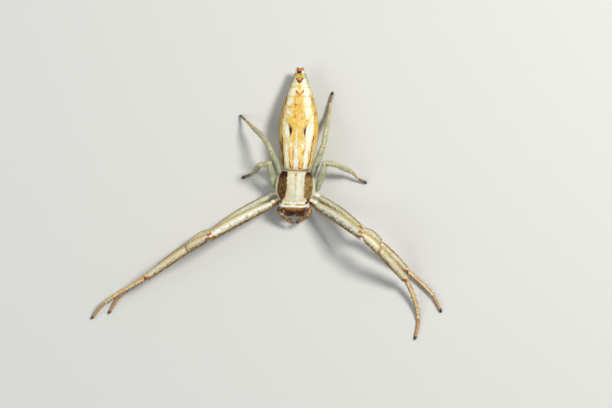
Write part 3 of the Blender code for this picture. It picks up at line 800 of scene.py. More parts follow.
def paint_foot(pair, p, d, up, fore, coarse, fine):
    """Peach with a painted cream highlight on top and brown specks on the front feet, and tan on the hind
    ones.
    """
    if pair not in FRONT_PAIRS:
        return layers(np.repeat(TAN[None], len(p), axis=0), (
            (OLIVE_YELLOW, np.full(len(p), 0.6)),
            (BROWN, 0.45 * smooth(-up, 0.3, 0.9) + 0.35 * smooth(fine, 0.5, 0.8)),
        ))
    return layers(np.repeat(PEACH[None], len(p), axis=0), (
        # painted highlight: cream along the top of the front feet
        (LEG_CREAM, 0.70 * smooth(up, 0.3, 0.9) * smooth(coarse, 0.25, 0.6)),
        (CHESTNUT, 0.50 * smooth(fore, 0.55, 0.90) + 0.20 * smooth(fine, 0.6, 0.8)),
        (BROWN, 0.60 * smooth(-up, 0.2, 0.8)),
        (BROWN, 0.60 * smooth(noise(p, 13.0, pair + 14), 0.62, 0.70)),
        (SOOT, 0.80 * stripe(np.mod(d, 0.30), 0.15, 0.040, 0.03) * smooth(fore, 0.35, 0.65)),
    ))


def paint_joints(front, colour, part, d, left, up, fore, fine):
    """A pale collar and a dark membrane at each joint, with red-brown spots beside it."""
    number = part.astype(int)
    dark = np.maximum(END_DARK[number] * (1 - smooth(left, 0.02, 0.06)),
                      START_DARK[number] * (1 - smooth(d, 0.03, 0.08)))
    lip = ((part >= FEMUR) & (part <= METATARSUS)) * stripe(left, 0.14, 0.08, 0.04)
    if not front:
        long_parts = (part >= FEMUR) & (part <= TIBIA)
        beside = long_parts * hump(left, 0.14, 0.11) * smooth(np.abs(fore), 0.50, 0.8)
        return layers(colour, ((BUFF, 0.85 * lip), (BROWN, 0.55 * dark), (ORANGE_TAN, 0.6 * beside)))
    colour = layers(colour, ((LEG_CREAM, 0.85 * lip), (RED_BROWN, 1.0 * dark)))
    for other, own_part, from_end, place, reach, centre, width in JOINT_SPOTS:
        along = hump(left if from_end else d, place, reach)
        spot = (part == own_part) * along * hump(fore, centre, width) * smooth(up, -0.4, 0.0)
        colour = mix(colour, other, 0.95 * smooth(spot, 0.25, 0.60))
    # two brown lines round the patella's end
    slant = left + 0.05 * fore
    return layers(colour, (
        (BROWN, 0.85 * (part == PATELLA) * stripe(slant, 0.12, 0.042, 0.02)),
        (BROWN, 0.55 * (part == PATELLA) * stripe(slant, 0.27, 0.020, 0.02) * smooth(fine, 0.3, 0.5)),
    ))


def paint_leg(pair, side, grid, facts):
    """Colour of every vertex of a leg."""
    p = grid.reshape(-1, 3)
    part, d, length, up, fore = facts.reshape(-1, 5).T
    left = length - d
    coarse = noise(p, 3.0, pair)
    fine = noise(p, 11.0, pair + 5)
    front = pair in FRONT_PAIRS
    if front:
        colour = paint_front_leg(pair, p, part, d, up, fore, coarse, fine)
    else:
        colour = paint_hind_leg(side, p, part, up, fore, coarse, fine)
    foot = paint_foot(pair, p, d, up, fore, coarse, fine)
    last = part == TARSUS
    colour = layers(colour, (
        (foot, np.clip(part - TIBIA, 0, 1) * (0.95 if front else 0.6)),
        (ORANGE_TAN if front else UMBER, last * (0.70 if front else 0.60)),
        (SOOT, last * 0.90 * smooth(left, 0.26, 0.10)),
    ))
    colour = paint_joints(front, colour, part, d, left, up, fore, fine)
    # the trochanter is a white knob, and the coxa under it orange-brown
    base = part == COXA
    under_knob = base * (KNOB_SHADE[0] if pair == 1 else KNOB_SHADE[1]) * smooth(fore, -0.35, 0.05)
    knob = base * 0.85 * (1 - smooth(left, 0.60, 0.80)) * (1 - smooth(fore, -0.3, 0.1)) * front
    return layers(colour, (
        (COXA_BROWN, under_knob),
        (RED_BROWN, under_knob * 0.7 * smooth(noise(p, 6.0, 17), 0.45, 0.65)),
        (WHITE, knob),
    ))


def add_leg(pair, side, skin):
    grid, facts = leg_surface(pair, side)
    paint = paint_leg(pair, side, grid, facts)
    obj = add_grids(f"leg_{pair}_{side}_skin", [(grid, paint)], skin)
    parts = PARTS if pair in FRONT_PAIRS else PARTS[:METATARSUS] + ("foot",)
    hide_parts(*[f"leg_{pair}_{side}_{part}" for part in parts])
    return grid, facts, paint


# Abdomen

# Distance back from the waist with the half width, the height of the back and of the belly
ABDOMEN_HALF_WIDTH = (
    (-0.36, 0.19), (-0.10, 0.20), (-0.02, 0.30), (0.05, 0.80), (0.16, 1.03), (0.45, 1.17), (0.86, 1.27),
    (1.75, 1.43), (2.45, 1.50), (3.10, 1.53), (3.95, 1.48), (4.28, 1.43), (5.00, 1.26), (5.72, 1.05),
    (6.46, 0.78), (7.16, 0.52), (7.54, 0.375), (7.60, 0.28), (7.62, 0.15),
)
ABDOMEN_TOP = (
    (-0.36, 1.80), (-0.10, 1.78), (-0.02, 1.82), (0.05, 2.00), (0.16, 2.15), (0.45, 2.34), (0.86, 2.47),
    (1.75, 2.62), (2.45, 2.68), (3.10, 2.70), (3.95, 2.65), (4.28, 2.61), (5.00, 2.49), (5.72, 2.30),
    (6.46, 2.06), (7.16, 1.78), (7.54, 1.66), (7.60, 1.60), (7.62, 1.50),
)
ABDOMEN_BELLY = (
    (-0.36, 1.46), (-0.10, 1.44), (-0.02, 1.34), (0.05, 1.02), (0.16, 0.85), (0.45, 0.68), (0.86, 0.56),
    (1.75, 0.46), (2.45, 0.43), (3.10, 0.42), (3.95, 0.44), (4.28, 0.46), (5.00, 0.53), (5.72, 0.62),
    (6.46, 0.76), (7.16, 0.94), (7.54, 1.00), (7.60, 1.06), (7.62, 1.18),
)
ABDOMEN_BOW = 0.10
ABDOMEN_LENGTH = 7.54
WIDEST = 0.52
SIDE_FULLNESS = 0.85
BACK_FULLNESS = 0.90
CREASES = (4.30, 5.02, 5.75, 6.49, 7.18)
CREASE_BEND = 0.05
# Relief at each crease, as height, distance behind it and width
CREASE_RELIEF = ((-0.045, 0.045, 0.038), (0.014, -0.06, 0.07), (-0.010, 0.16, 0.05))
# The groove of the belly, in the same form but from the waist
BELLY_GROOVE = (-0.035, 1.30, 0.05)
# The two pits of the back, and the two small dimples in front of them: across, back and depth
PIT = (0.54, 3.00, 0.060)
DIMPLE = (0.50, 1.72, 0.025)
FLANK_FOLD = 0.022
CROSS_WRINKLE = 0.014
SKIN_GRAIN = 0.012
ABDOMEN_SIDES = 260
ABDOMEN_STEP = 0.029


def abdomen_surface():
    """Rings of the abdomen with its waist, and each vertex's place: back, sideways and angle."""
    start, end = ABDOMEN_HALF_WIDTH[0][0], ABDOMEN_HALF_WIDTH[-1][0]
    back = np.concatenate([np.linspace(start, 0.30, 34), np.arange(0.32, 7.50, ABDOMEN_STEP),
                           np.linspace(7.51, end, 9)])
    half = curve_through(back, ABDOMEN_HALF_WIDTH)
    top = curve_through(back, ABDOMEN_TOP)
    belly = curve_through(back, ABDOMEN_BELLY)
    angle = ring_angles(ABDOMEN_SIDES)
    rise = np.sin(angle)
    side = rounded(np.cos(angle), SIDE_FULLNESS)
    lift = rounded(rise, BACK_FULLNESS)
    widest = belly + WIDEST * (top - belly)
    height = np.where(lift[None] > 0, (top - widest)[:, None], (widest - belly)[:, None])
    x = half[:, None] * side[None]
    y, z = np.repeat(back[:, None], ABDOMEN_SIDES, 1), widest[:, None] + height * lift[None]
    grid = np.stack([x, y, z], axis=-1)
    normals = grid_normals(grid)
    flat = grid.reshape(-1, 3)
    n = x / half[:, None]
    place = back[:, None] + CREASE_BEND * n ** 2

    def rough(stretch, fineness, seed):
        """Random relief, from -0.5 to 0.5."""
        return noise(flat * stretch, fineness, seed).reshape(x.shape) - 0.5

    push = np.zeros(x.shape)
    for crease in CREASES:
        here = place - crease - 0.02 * rough([1.3, 0.2, 1.3], 2.0, 3)
        push = add_humps(push, here, CREASE_RELIEF)
    upper = smooth(rise, 0.1, 0.5)[None]
    for sign in (-1, 1):
        across = PIT[0] + 0.35 * (place - PIT[1]) ** 2
        push -= PIT[2] * (hump(x, sign * across, 0.060) * hump(place, PIT[1] + 0.06, 0.30) * upper)
        push -= DIMPLE[2] * (hump(x, sign * DIMPLE[0], 0.05) * hump(place, DIMPLE[1], 0.09) * upper)
    # long folds on the flanks, fine cross wrinkles and a shallow groove round the front of the belly
    flank = smooth(np.abs(n), 0.72, 0.92) * smooth(place, 0.2, 0.8)
    push += FLANK_FOLD * flank * rough([1.0, 0.12, 1.0], 7.0, 5)
    push += CROSS_WRINKLE * rough([0.5, 2.2, 0.5], 5.0, 6) * smooth(place, 0.1, 0.6)
    push += SKIN_GRAIN * rough([1.0, 1.0, 1.0], 5.5, 7)
    depth, groove, width = BELLY_GROOVE
    push += depth * hump(place, groove - 0.25 * n ** 2, width) * smooth(-rise, 0.3, 0.7)[None]
    grid = grid + normals * push[..., None] * smooth(back, -0.02, 0.25)[:, None, None]
    middle = ABDOMEN_BOW * np.sin(math.pi * np.clip(back, 0, ABDOMEN_LENGTH) / ABDOMEN_LENGTH)
    grid[..., 0] += middle[:, None]
    facts = np.stack(np.broadcast_arrays(back[:, None], x, n, rise[None]), axis=-1)
    return grid, facts.reshape(-1, 4)


# Markings of the abdomen's back: colour, strength, softness of the edges, and then points along
# each mark as distance across, distance back from the waist, and half width
BACK_MARKS = (
    # golden fields
    (GOLD, 0.90, 0.07, ((0.0, 2.18, 0.46), (0.0, 2.7, 0.46), (0.02, 3.3, 0.44), (0.02, 3.62, 0.70),
                        (0.05, 3.88, 0.86))),
    (GOLD, 0.85, 0.06, ((-0.80, 3.75, 0.14), (-0.78, 4.02, 0.16), (0.80, 4.02, 0.12))),
    (GOLD, 0.75, 0.07, ((0.05, 4.1, 0.36), (0.05, 4.6, 0.36), (0.02, 5.0, 0.36))),
    (GOLD, 0.70, 0.06, ((-0.05, 5.10, 0.30), (-0.03, 5.70, 0.32))),
    (GOLD, 0.45, 0.08, ((-0.70, 2.30, 0.12), (-1.02, 2.40, 0.10))),
    (OLIVE_YELLOW, 0.40, 0.07, ((-0.50, 3.84, 0.06), (-0.20, 3.62, 0.07))),
    (OLIVE_YELLOW, 0.30, 0.06, ((0.20, 2.30, 0.07), (0.35, 2.45, 0.06))),
    (DEEP_GOLD, 0.45, 0.05, ((-0.86, 4.00, 0.05), (-0.82, 3.72, 0.04))),
    (ORANGE_TAN, 0.35, 0.05, ((-0.62, 4.04, 0.04), (-0.28, 3.98, 0.04), (0.30, 4.02, 0.03))),
    # white patches along both sides
    (WHITE, 0.90, 0.06, ((-0.66, 0.22, 0.08), (-0.72, 0.70, 0.12), (-0.74, 1.30, 0.11),
                         (-0.80, 1.95, 0.07))),
    (WHITE, 0.95, 0.06, ((0.70, 0.22, 0.10), (0.76, 0.80, 0.14), (0.78, 1.45, 0.12), (0.88, 1.95, 0.13),
                         (0.90, 2.40, 0.20), (0.92, 2.90, 0.24), (0.94, 3.25, 0.22),
                         (0.98, 3.52, 0.10))),
    (WHITE, 0.92, 0.06, ((-0.80, 2.56, 0.07), (-0.82, 2.90, 0.17), (-0.84, 3.20, 0.18),
                         (-0.86, 3.48, 0.12))),
    (PALE_BLUE_WHITE, 0.75, 0.05, ((1.08, 3.20, 0.08), (1.12, 3.75, 0.08), (1.12, 4.15, 0.06))),
    (CREAM, 0.70, 0.06, ((-1.10, 2.90, 0.06), (-1.10, 3.90, 0.08), (-1.02, 4.20, 0.05))),
    (PALE_BLUE_WHITE, 0.85, 0.05, ((-0.84, 4.62, 0.08), (-0.70, 4.42, 0.13), (-0.56, 4.28, 0.09))),
    (WHITE, 0.95, 0.06, ((0.74, 4.16, 0.17), (0.78, 4.50, 0.24), (0.76, 4.84, 0.16))),
    (WHITE, 0.85, 0.06, ((-0.80, 5.10, 0.14), (-0.72, 5.28, 0.19), (-0.66, 5.46, 0.14))),
    (WHITE, 0.95, 0.06, ((0.74, 5.14, 0.20), (0.72, 5.40, 0.24), (0.66, 5.64, 0.20))),
    (WHITE, 0.85, 0.07, ((-0.60, 5.92, 0.22), (-0.50, 6.20, 0.18), (-0.46, 6.34, 0.10))),
    (WHITE, 0.95, 0.06, ((0.56, 5.94, 0.24), (0.48, 6.36, 0.24), (0.42, 6.70, 0.24),
                         (0.36, 7.12, 0.17))),
    (WHITE, 0.85, 0.06, ((-0.42, 6.66, 0.18), (-0.36, 7.10, 0.15))),
    # pale middle line
    (PALE_BLUE_WHITE, 0.92, 0.04, ((0.0, 0.10, 0.15), (0.02, 0.55, 0.15), (-0.02, 0.95, 0.08),
                                   (-0.03, 1.70, 0.055), (-0.03, 2.60, 0.05), (-0.02, 3.22, 0.035))),
    # yellow stripes of the front, with their orange-red outlines
    (YELLOW, 0.90, 0.035, ((-0.32, 0.16, 0.08), (-0.34, 0.60, 0.11), (-0.36, 1.20, 0.13),
                           (-0.38, 1.72, 0.12))),
    (YELLOW, 0.88, 0.04, ((0.38, 0.16, 0.08), (0.41, 0.65, 0.11), (0.37, 1.05, 0.17),
                          (0.40, 1.50, 0.23), (0.44, 1.72, 0.14))),
    (ORANGE, 0.60, 0.03, ((-0.23, 0.75, 0.02), (-0.24, 1.30, 0.045), (-0.28, 1.74, 0.05))),
    (ORANGE, 0.92, 0.025, ((-0.40, 0.16, 0.035), (-0.46, 0.50, 0.025), (-0.48, 0.78, 0.018),
                           (-0.52, 1.10, 0.035), (-0.55, 1.48, 0.028), (-0.50, 1.74, 0.012))),
    (BROWN, 0.80, 0.025, ((-0.38, 0.18, 0.030), (-0.44, 0.46, 0.028), (-0.46, 0.66, 0.010))),
    (ORANGE, 0.75, 0.025, ((-0.23, 0.16, 0.035), (-0.20, 0.48, 0.022), (-0.19, 0.72, 0.012))),
    (RED, 0.75, 0.03, ((-0.30, 0.15, 0.045), (-0.22, 0.22, 0.030))),
    (ORANGE, 0.90, 0.025, ((0.49, 0.18, 0.030), (0.54, 0.50, 0.026), (0.55, 0.80, 0.016))),
    (ORANGE, 0.85, 0.028, ((0.55, 1.26, 0.030), (0.61, 1.50, 0.045), (0.67, 1.70, 0.028),
                           (0.67, 1.94, 0.016))),
    (ORANGE, 0.92, 0.025, ((0.23, 0.16, 0.035), (0.28, 0.46, 0.032), (0.30, 0.76, 0.018),
                           (0.22, 0.95, 0.008))),
    (RED, 0.80, 0.03, ((0.26, 0.15, 0.045), (0.40, 0.16, 0.035))),
    (GOLD, 0.85, 0.035, ((-0.68, 1.42, 0.045), (-0.67, 1.85, 0.060), (-0.60, 2.15, 0.060),
                         (-0.60, 2.45, 0.035))),
    (ORANGE_TAN, 0.45, 0.03, ((-0.30, 1.78, 0.04), (-0.25, 1.95, 0.03))),
    (PALE_BLUE_WHITE, 0.95, 0.03, ((-0.45, 1.84, 0.055), (-0.42, 1.98, 0.075))),
    (WHITE, 0.95, 0.03, ((0.37, 1.98, 0.060), (0.46, 1.90, 0.090), (0.54, 1.78, 0.060))),
    (GOLD, 0.55, 0.03, ((0.15, 2.70, 0.030), (0.15, 3.24, 0.026))),
    (PINK, 0.35, 0.03, ((0.25, 2.74, 0.028), (0.25, 3.26, 0.034))),
    (WHITE, 0.40, 0.03, ((0.26, 2.90, 0.015), (0.26, 3.24, 0.022))),
    (DEEP_GOLD, 0.35, 0.025, ((0.35, 2.70, 0.020), (0.36, 3.20, 0.022))),
    (PINK, 0.50, 0.03, ((0.47, 2.95, 0.022), (0.47, 3.28, 0.036))),
    (DEEP_GOLD, 0.45, 0.03, ((-0.40, 2.80, 0.030), (-0.40, 3.26, 0.032), (-0.52, 3.62, 0.028))),
    (DEEP_GOLD, 0.30, 0.03, ((-0.16, 2.30, 0.020), (-0.17, 3.10, 0.020))),
    # the pits, like drops with brown tails
    (CHESTNUT, 0.75, 0.05, ((-0.62, 2.50, 0.020), (-0.56, 2.80, 0.065), (-0.53, 3.04, 0.115),
                            (-0.58, 3.32, 0.095), (-0.72, 3.62, 0.040))),
    (DARK_BROWN, 0.96, 0.03, ((-0.60, 2.60, 0.012), (-0.545, 2.84, 0.060), (-0.53, 3.02, 0.100),
                              (-0.56, 3.24, 0.085), (-0.63, 3.44, 0.030))),
    (CHESTNUT, 0.75, 0.04, ((0.59, 2.62, 0.015), (0.56, 2.92, 0.065), (0.57, 3.10, 0.080),
                            (0.63, 3.34, 0.050), (0.72, 3.56, 0.030))),
    (DARK_BROWN, 0.94, 0.03, ((0.575, 2.74, 0.020), (0.56, 2.95, 0.070), (0.57, 3.14, 0.072),
                              (0.61, 3.32, 0.030))),
    # pink bar with an orange block, and the little ring behind it
    (PINK, 0.70, 0.025, ((-0.16, 4.20, 0.040), (0.46, 4.21, 0.040))),
    (WHITE, 0.60, 0.02, ((-0.02, 4.215, 0.018), (0.43, 4.22, 0.022))),
    (ORANGE, 0.95, 0.025, ((-0.29, 4.10, 0.060), (-0.25, 4.22, 0.070))),
    (RED, 0.55, 0.02, ((-0.24, 4.20, 0.020), (-0.16, 4.165, 0.016), (0.20, 4.16, 0.010))),
    (ORANGE, 0.70, 0.02, ((0.50, 4.14, 0.022), (0.50, 4.50, 0.012))),
    (ORANGE_TAN, 0.55, 0.025, ((-0.28, 4.32, 0.030), (-0.24, 4.60, 0.025))),
    (PINK, 0.60, 0.02, ((-0.12, 4.50, 0.012), (0.10, 4.48, 0.018), (0.44, 4.50, 0.018))),
    (DEEP_GOLD, 0.70, 0.02, ((-0.14, 4.62, 0.018), (-0.08, 4.78, 0.018), (0.06, 4.83, 0.018),
                             (0.22, 4.77, 0.018), (0.26, 4.63, 0.018), (0.18, 4.54, 0.014),
                             (-0.04, 4.54, 0.014), (-0.14, 4.62, 0.018))),
    (YELLOW, 0.75, 0.03, ((-0.02, 4.67, 0.045), (0.14, 4.67, 0.045))),
    (DEEP_GOLD, 0.75, 0.035, ((-0.84, 4.92, 0.035), (-0.60, 4.84, 0.050), (-0.42, 4.88, 0.045))),
    (ORANGE, 0.45, 0.03, ((-0.78, 4.96, 0.025), (-0.50, 4.86, 0.030))),
    (YELLOW, 0.45, 0.03, ((0.44, 4.96, 0.030), (1.00, 4.96, 0.025))),
    # chain of red and dark dots
    (ORANGE, 0.95, 0.025, ((-0.26, 4.96, 0.060), (-0.27, 5.12, 0.072))),
    (RED, 0.80, 0.02, ((-0.29, 5.02, 0.032), (-0.28, 5.12, 0.042))),
    (DARK_BROWN, 0.75, 0.02, ((-0.14, 5.10, 0.040),)),
    (PINK, 0.70, 0.02, ((-0.15, 4.98, 0.030),)),
    (BROWN, 0.75, 0.02, ((-0.04, 5.00, 0.020), (0.02, 5.08, 0.018))),
    (BROWN, 0.75, 0.02, ((0.13, 5.10, 0.040),)),
    (PINK, 0.75, 0.025, ((0.24, 5.08, 0.045), (0.34, 5.16, 0.030))),
    (PALE_BLUE_WHITE, 0.80, 0.02, ((0.46, 5.12, 0.050),)),
    (ORANGE, 0.70, 0.03, ((-0.27, 5.20, 0.030), (-0.27, 5.68, 0.038), (-0.16, 5.72, 0.020))),
    (YELLOW, 0.80, 0.03, ((0.02, 5.20, 0.040), (0.02, 5.76, 0.060))),
    (DEEP_GOLD, 0.45, 0.02, ((-0.08, 5.24, 0.016), (-0.08, 5.70, 0.016))),
    (PINK, 0.40, 0.03, ((0.20, 5.22, 0.040), (0.20, 5.46, 0.035))),
    (DEEP_GOLD, 0.80, 0.02, ((-0.94, 5.74, 0.022), (-0.20, 5.77, 0.022), (0.20, 5.78, 0.012),
                             (0.94, 5.78, 0.010))),
    # orange and brown mark like a V
    (YELLOW, 0.90, 0.04, ((0.06, 6.18, 0.090), (0.05, 6.44, 0.120), (0.01, 6.72, 0.050))),
    (YELLOW, 0.55, 0.05, ((-0.24, 6.56, 0.080), (0.20, 6.52, 0.060))),
    (PINK, 0.55, 0.03, ((0.00, 6.04, 0.050), (0.14, 5.98, 0.040))),
    (CHESTNUT, 0.92, 0.022, ((-0.22, 6.19, 0.044), (-0.15, 6.08, 0.065), (-0.05, 5.96, 0.050),
                             (0.03, 5.86, 0.058))),
    (RED_BROWN, 0.95, 0.02, ((-0.20, 6.15, 0.040), (-0.13, 6.07, 0.040))),
    (ORANGE, 0.75, 0.025, ((-0.22, 5.98, 0.035), (-0.12, 5.94, 0.025))),
    (ORANGE, 0.92, 0.022, ((0.34, 6.21, 0.058), (0.30, 6.08, 0.058), (0.18, 6.04, 0.040),
                           (0.09, 5.94, 0.048), (0.03, 5.85, 0.052))),
    (DEEP_GOLD, 0.70, 0.02, ((0.0, 6.30, 0.020), (-0.02, 6.74, 0.020))),
    (GOLD, 0.75, 0.03, ((-0.72, 6.44, 0.040), (-0.28, 6.46, 0.035))),
    # dark red mark like a T with a forked top
    (RED, 0.95, 0.022, ((-0.28, 7.17, 0.040), (-0.19, 7.10, 0.058), (-0.09, 6.96, 0.075),
                        (-0.01, 6.78, 0.024))),
    (RED, 0.95, 0.022, ((0.30, 7.17, 0.040), (0.20, 7.10, 0.055), (0.10, 6.98, 0.055),
                        (0.01, 6.80, 0.022))),
    (BLACK_BROWN, 0.85, 0.02, ((-0.15, 7.05, 0.028), (-0.09, 6.94, 0.045), (-0.02, 6.82, 0.022))),
    (PINK, 0.80, 0.02, ((0.02, 7.09, 0.030), (0.02, 6.98, 0.016))),
    (YELLOW, 0.95, 0.03, ((-0.20, 7.38, 0.17), (0.20, 7.38, 0.17))),
    (DEEP_GOLD, 0.50, 0.03, ((0.08, 7.28, 0.030), (-0.10, 7.24, 0.020))),
)
# Lines on the flanks, first those on the animal's right and then those on its left
FLANK_MARKS = (
    (ORANGE_TAN, 0.70, 0.04, ((-0.92, 0.30, 0.06), (-0.95, 0.90, 0.05), (-1.06, 1.60, 0.05),
                              (-1.10, 2.40, 0.05))),
    (BROWN, 0.95, 0.04, ((-0.96, 0.26, 0.060), (-0.99, 0.80, 0.055), (-1.11, 1.36, 0.050),
                         (-1.17, 1.75, 0.060), (-1.18, 2.12, 0.050), (-1.20, 2.50, 0.050),
                         (-1.27, 2.70, 0.030))),
    (DARK_BROWN, 0.80, 0.03, ((-1.00, 0.55, 0.030), (-1.02, 0.85, 0.020))),
    (DARK_BROWN, 0.80, 0.03, ((-1.13, 1.45, 0.035), (-1.17, 1.95, 0.035), (-1.18, 2.10, 0.020))),
    (DARK_BROWN, 0.75, 0.03, ((-1.19, 2.40, 0.030), (-1.21, 2.52, 0.025))),
    (CHESTNUT, 0.85, 0.04, ((-1.24, 3.10, 0.025), (-1.26, 3.60, 0.025))),
    (CHESTNUT, 0.92, 0.035, ((-1.22, 4.05, 0.035), (-1.19, 4.30, 0.065), (-1.22, 4.48, 0.030))),
    (DARK_BROWN, 0.85, 0.03, ((-1.00, 5.50, 0.025), (-0.99, 5.64, 0.045), (-1.02, 5.74, 0.020))),
    (BROWN, 0.70, 0.03, ((-1.12, 5.00, 0.025), (-1.05, 5.30, 0.020))),
    (DEEP_GOLD, 0.85, 0.03, ((0.93, 1.44, 0.035), (0.94, 1.10, 0.040), (0.98, 0.80, 0.030),
                             (0.92, 0.40, 0.025))),
    (CHESTNUT, 0.90, 0.03, ((0.95, 0.20, 0.035), (0.98, 0.48, 0.042), (1.05, 0.76, 0.034),
                            (1.10, 1.20, 0.040), (1.13, 1.62, 0.034), (1.17, 2.10, 0.036),
                            (1.24, 2.45, 0.040), (1.26, 2.72, 0.020))),
    (DARK_BROWN, 0.90, 0.025, ((0.96, 0.34, 0.024), (0.98, 0.46, 0.026))),
    (DARK_BROWN, 0.90, 0.025, ((1.08, 1.05, 0.022), (1.11, 1.34, 0.028))),
    (DARK_BROWN, 0.90, 0.025, ((1.23, 2.36, 0.026), (1.26, 2.64, 0.020))),
    (ORANGE, 0.45, 0.03, ((1.24, 3.20, 0.018), (1.27, 3.80, 0.018))),
    (BROWN, 0.75, 0.025, ((1.24, 4.40, 0.026), (1.24, 4.62, 0.018))),
    (BROWN, 0.90, 0.025, ((1.00, 5.52, 0.026), (0.98, 5.68, 0.034))),
    (BROWN, 0.55, 0.02, ((1.02, 5.50, 0.012), (1.14, 5.18, 0.010))),
)
# The back's marks of these colours are drawn once more, wider
LINE_COLOURS = (ORANGE, RED, RED_BROWN, BROWN, DARK_BROWN, BLACK_BROWN)
LINE_WIDENING = 1.25


def paint_belly(grid, x, ax, back, cloud, streaks):
    """Buff, with a greyish middle band, a darker furrow and pale lungs."""
    lung = np.hypot((ax - 0.62) / 1.2, back - 0.85)
    opening = np.hypot(x / 1.3, back - 1.12)
    return layers(plain(grid, BUFF), (
        (CREAM, 0.5 * cloud),
        (GREEN_GREY, 0.55 * stripe(ax, 0, 0.42, 0.15) * smooth(back, 1.4, 1.8)),
        (DEEP_GOLD, 0.45 * smooth(streaks, 0.52, 0.66) * smooth(ax, 0.5, 0.8)),
        (WHITE, 0.6 * (1 - smooth(lung, 0.22, 0.32))),
        (CHESTNUT, 0.75 * (1 - smooth(opening, 0.10, 0.17))),
    ))


def paint_abdomen(grid, facts):
    """The markings of the back, then the flanks and the belly."""
    p = grid.reshape(-1, 3)
    back, x, n, rise = facts.T
    cloud = noise(p * [1, 0.6, 1], 3.2, 21)
    fine = noise(p, 9.0, 22)
    x = x + 0.045 * (noise(p * [0.4, 1, 0.4], 3.5, 23) - 0.5) + 0.05 * (noise(p, 11.0, 28) - 0.5)
    back = back + 0.04 * (noise(p, 3.0, 24) - 0.5) + 0.06 * (noise(p * [1.6, 0.8, 1], 10.0, 29) - 0.5)
    ax, an = np.abs(x), np.abs(n + 0.03 * (cloud - 0.5))
    streaks = noise(p * [1.2, 0.16, 1.4], 7.0, 26)
    tail = smooth(back, 5.7, 6.1)
    upper = smooth(rise, 0.0, 0.12)
    # cream with golden clouds, and golden flanks with brown streaks that run along them
    side = smooth(an, 0.76, 0.86) * smooth(back, 0.12, 0.4) * (1 - 0.8 * tail)
    colour = layers(plain(grid, CREAM), (
        (WHITE, 0.35 * fine),
        (GOLD, 0.15 + 0.45 * smooth(cloud, 0.40, 0.75) * (1 - 0.7 * tail)),
        (GOLD, 0.90 * side),
        (DEEP_GOLD, 0.80 * side * smooth(streaks, 0.50, 0.64) * np.where(x < 0, 1.0, 0.5)),
        (BROWN, 0.70 * side * smooth(streaks, 0.64, 0.74) * np.where(x < 0, 1.0, 0.3)),
        (CREAM, 0.60 * smooth(x, 1.22, 1.32) * smooth(an, 0.93, 0.97) * (1 - smooth(back, 2.2, 3.0))),
    ))
    colour = draw_marks(colour, BACK_MARKS + FLANK_MARKS, x, back, upper)
    # olive, rosy and pale mottling over the golden fields
    speck = noise(p * [1.3, 0.7, 1.0], 8.0, 30)
    golden = smooth(colour[:, 0] - colour[:, 2], 0.35, 0.55) * smooth(rise, 0.0, 0.2)
    colour = layers(colour, (
        (OLIVE_YELLOW, 0.28 * golden * smooth(speck, 0.55, 0.80)),
        (CREAM, 0.45 * golden * smooth(noise(p * [1.2, 0.8, 1.0], 6.5, 31), 0.55, 0.85)),
        (ORANGE_TAN, 0.30 * golden * smooth(noise(p, 7.5, 32), 0.60, 0.85)),
    ))
    colour = colour * (0.92 + 0.16 * speck)[:, None]
    # pale streaks along the front fields, then the coloured lines once more over all of it
    pale_streaks = smooth(noise(p * [1.8, 0.35, 1.0], 8.0, 33), 0.42, 0.66)
    colour = mix(colour, CREAM, 0.60 * golden * pale_streaks * (1 - smooth(back, 1.9, 2.5)))
    again = 0.35 + 0.50 * (1 - smooth(back, 2.2, 2.6)) + 0.45 * smooth(back, 5.8, 5.9)
    lines = [(other, strength * again, soft, [(u, v, LINE_WIDENING * half) for u, v, half in points])
             for other, strength, soft, points in BACK_MARKS if any(other is line for line in LINE_COLOURS)]
    colour = draw_marks(colour, lines, x, back, upper)
    # cream yellow across the back where the segments meet, and red-brown in the flank's dark lines
    for crease in CREASES:
        band = stripe(back + CREASE_BEND * n ** 2, crease, 0.10, 0.07)
        band = band * smooth(rise, 0.1, 0.3) * smooth(ax, 0.25, 0.40)
        colour = mix(colour, YELLOW, 0.30 * band * smooth(cloud, 0.2, 0.6))
    dark_line = smooth(0.30 - colour[:, 0], 0.0, 0.15) * smooth(-x, 0.9, 1.1) * (rise > 0)
    flecks = smooth(noise(p * [1, 0.6, 1], 6.0, 27), 0.66, 0.74) * stripe(an, 0.95, 0.06, 0.04)
    colour = layers(colour, (
        (RED_BROWN, 0.45 * dark_line),
        (CREAM, 0.85 * (1 - smooth(back, 0.04, 0.13))),
        (BROWN, 0.70 * flecks * smooth(back, 3.6, 4.4) * (1 - tail)),
        (paint_belly(grid, x, ax, back, cloud, streaks), smooth(-rise, 0.10, 0.45)),
    ))
    # painted shade: a thin darker gold line in the groove just behind each crease
    for crease in CREASES:
        low = stripe(back + CREASE_BEND * n ** 2, crease + 0.045, 0.012, 0.02)
        colour = mix(colour, DEEP_GOLD, 0.30 * low)
    # the waist is buff, and the blunt tip white beside a blue-black middle
    tip = smooth(back, 7.53, 7.57)
    return layers(colour, (
        (BUFF, 1 - smooth(back, -0.05, 0.05)),
        (PALE_BLUE_WHITE, 0.9 * tip),
        (BLUE_BLACK, 0.97 * tip * stripe(x, -0.03, 0.20, 0.05)),
    ))


def add_abdomen(skin):
    grid, facts = abdomen_surface()
    paint = paint_abdomen(grid, facts)
    obj = add_grids("abdomen_skin", [(grid, paint)], skin)
    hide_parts("abdomen")
    return grid, facts, paint


# Carapace

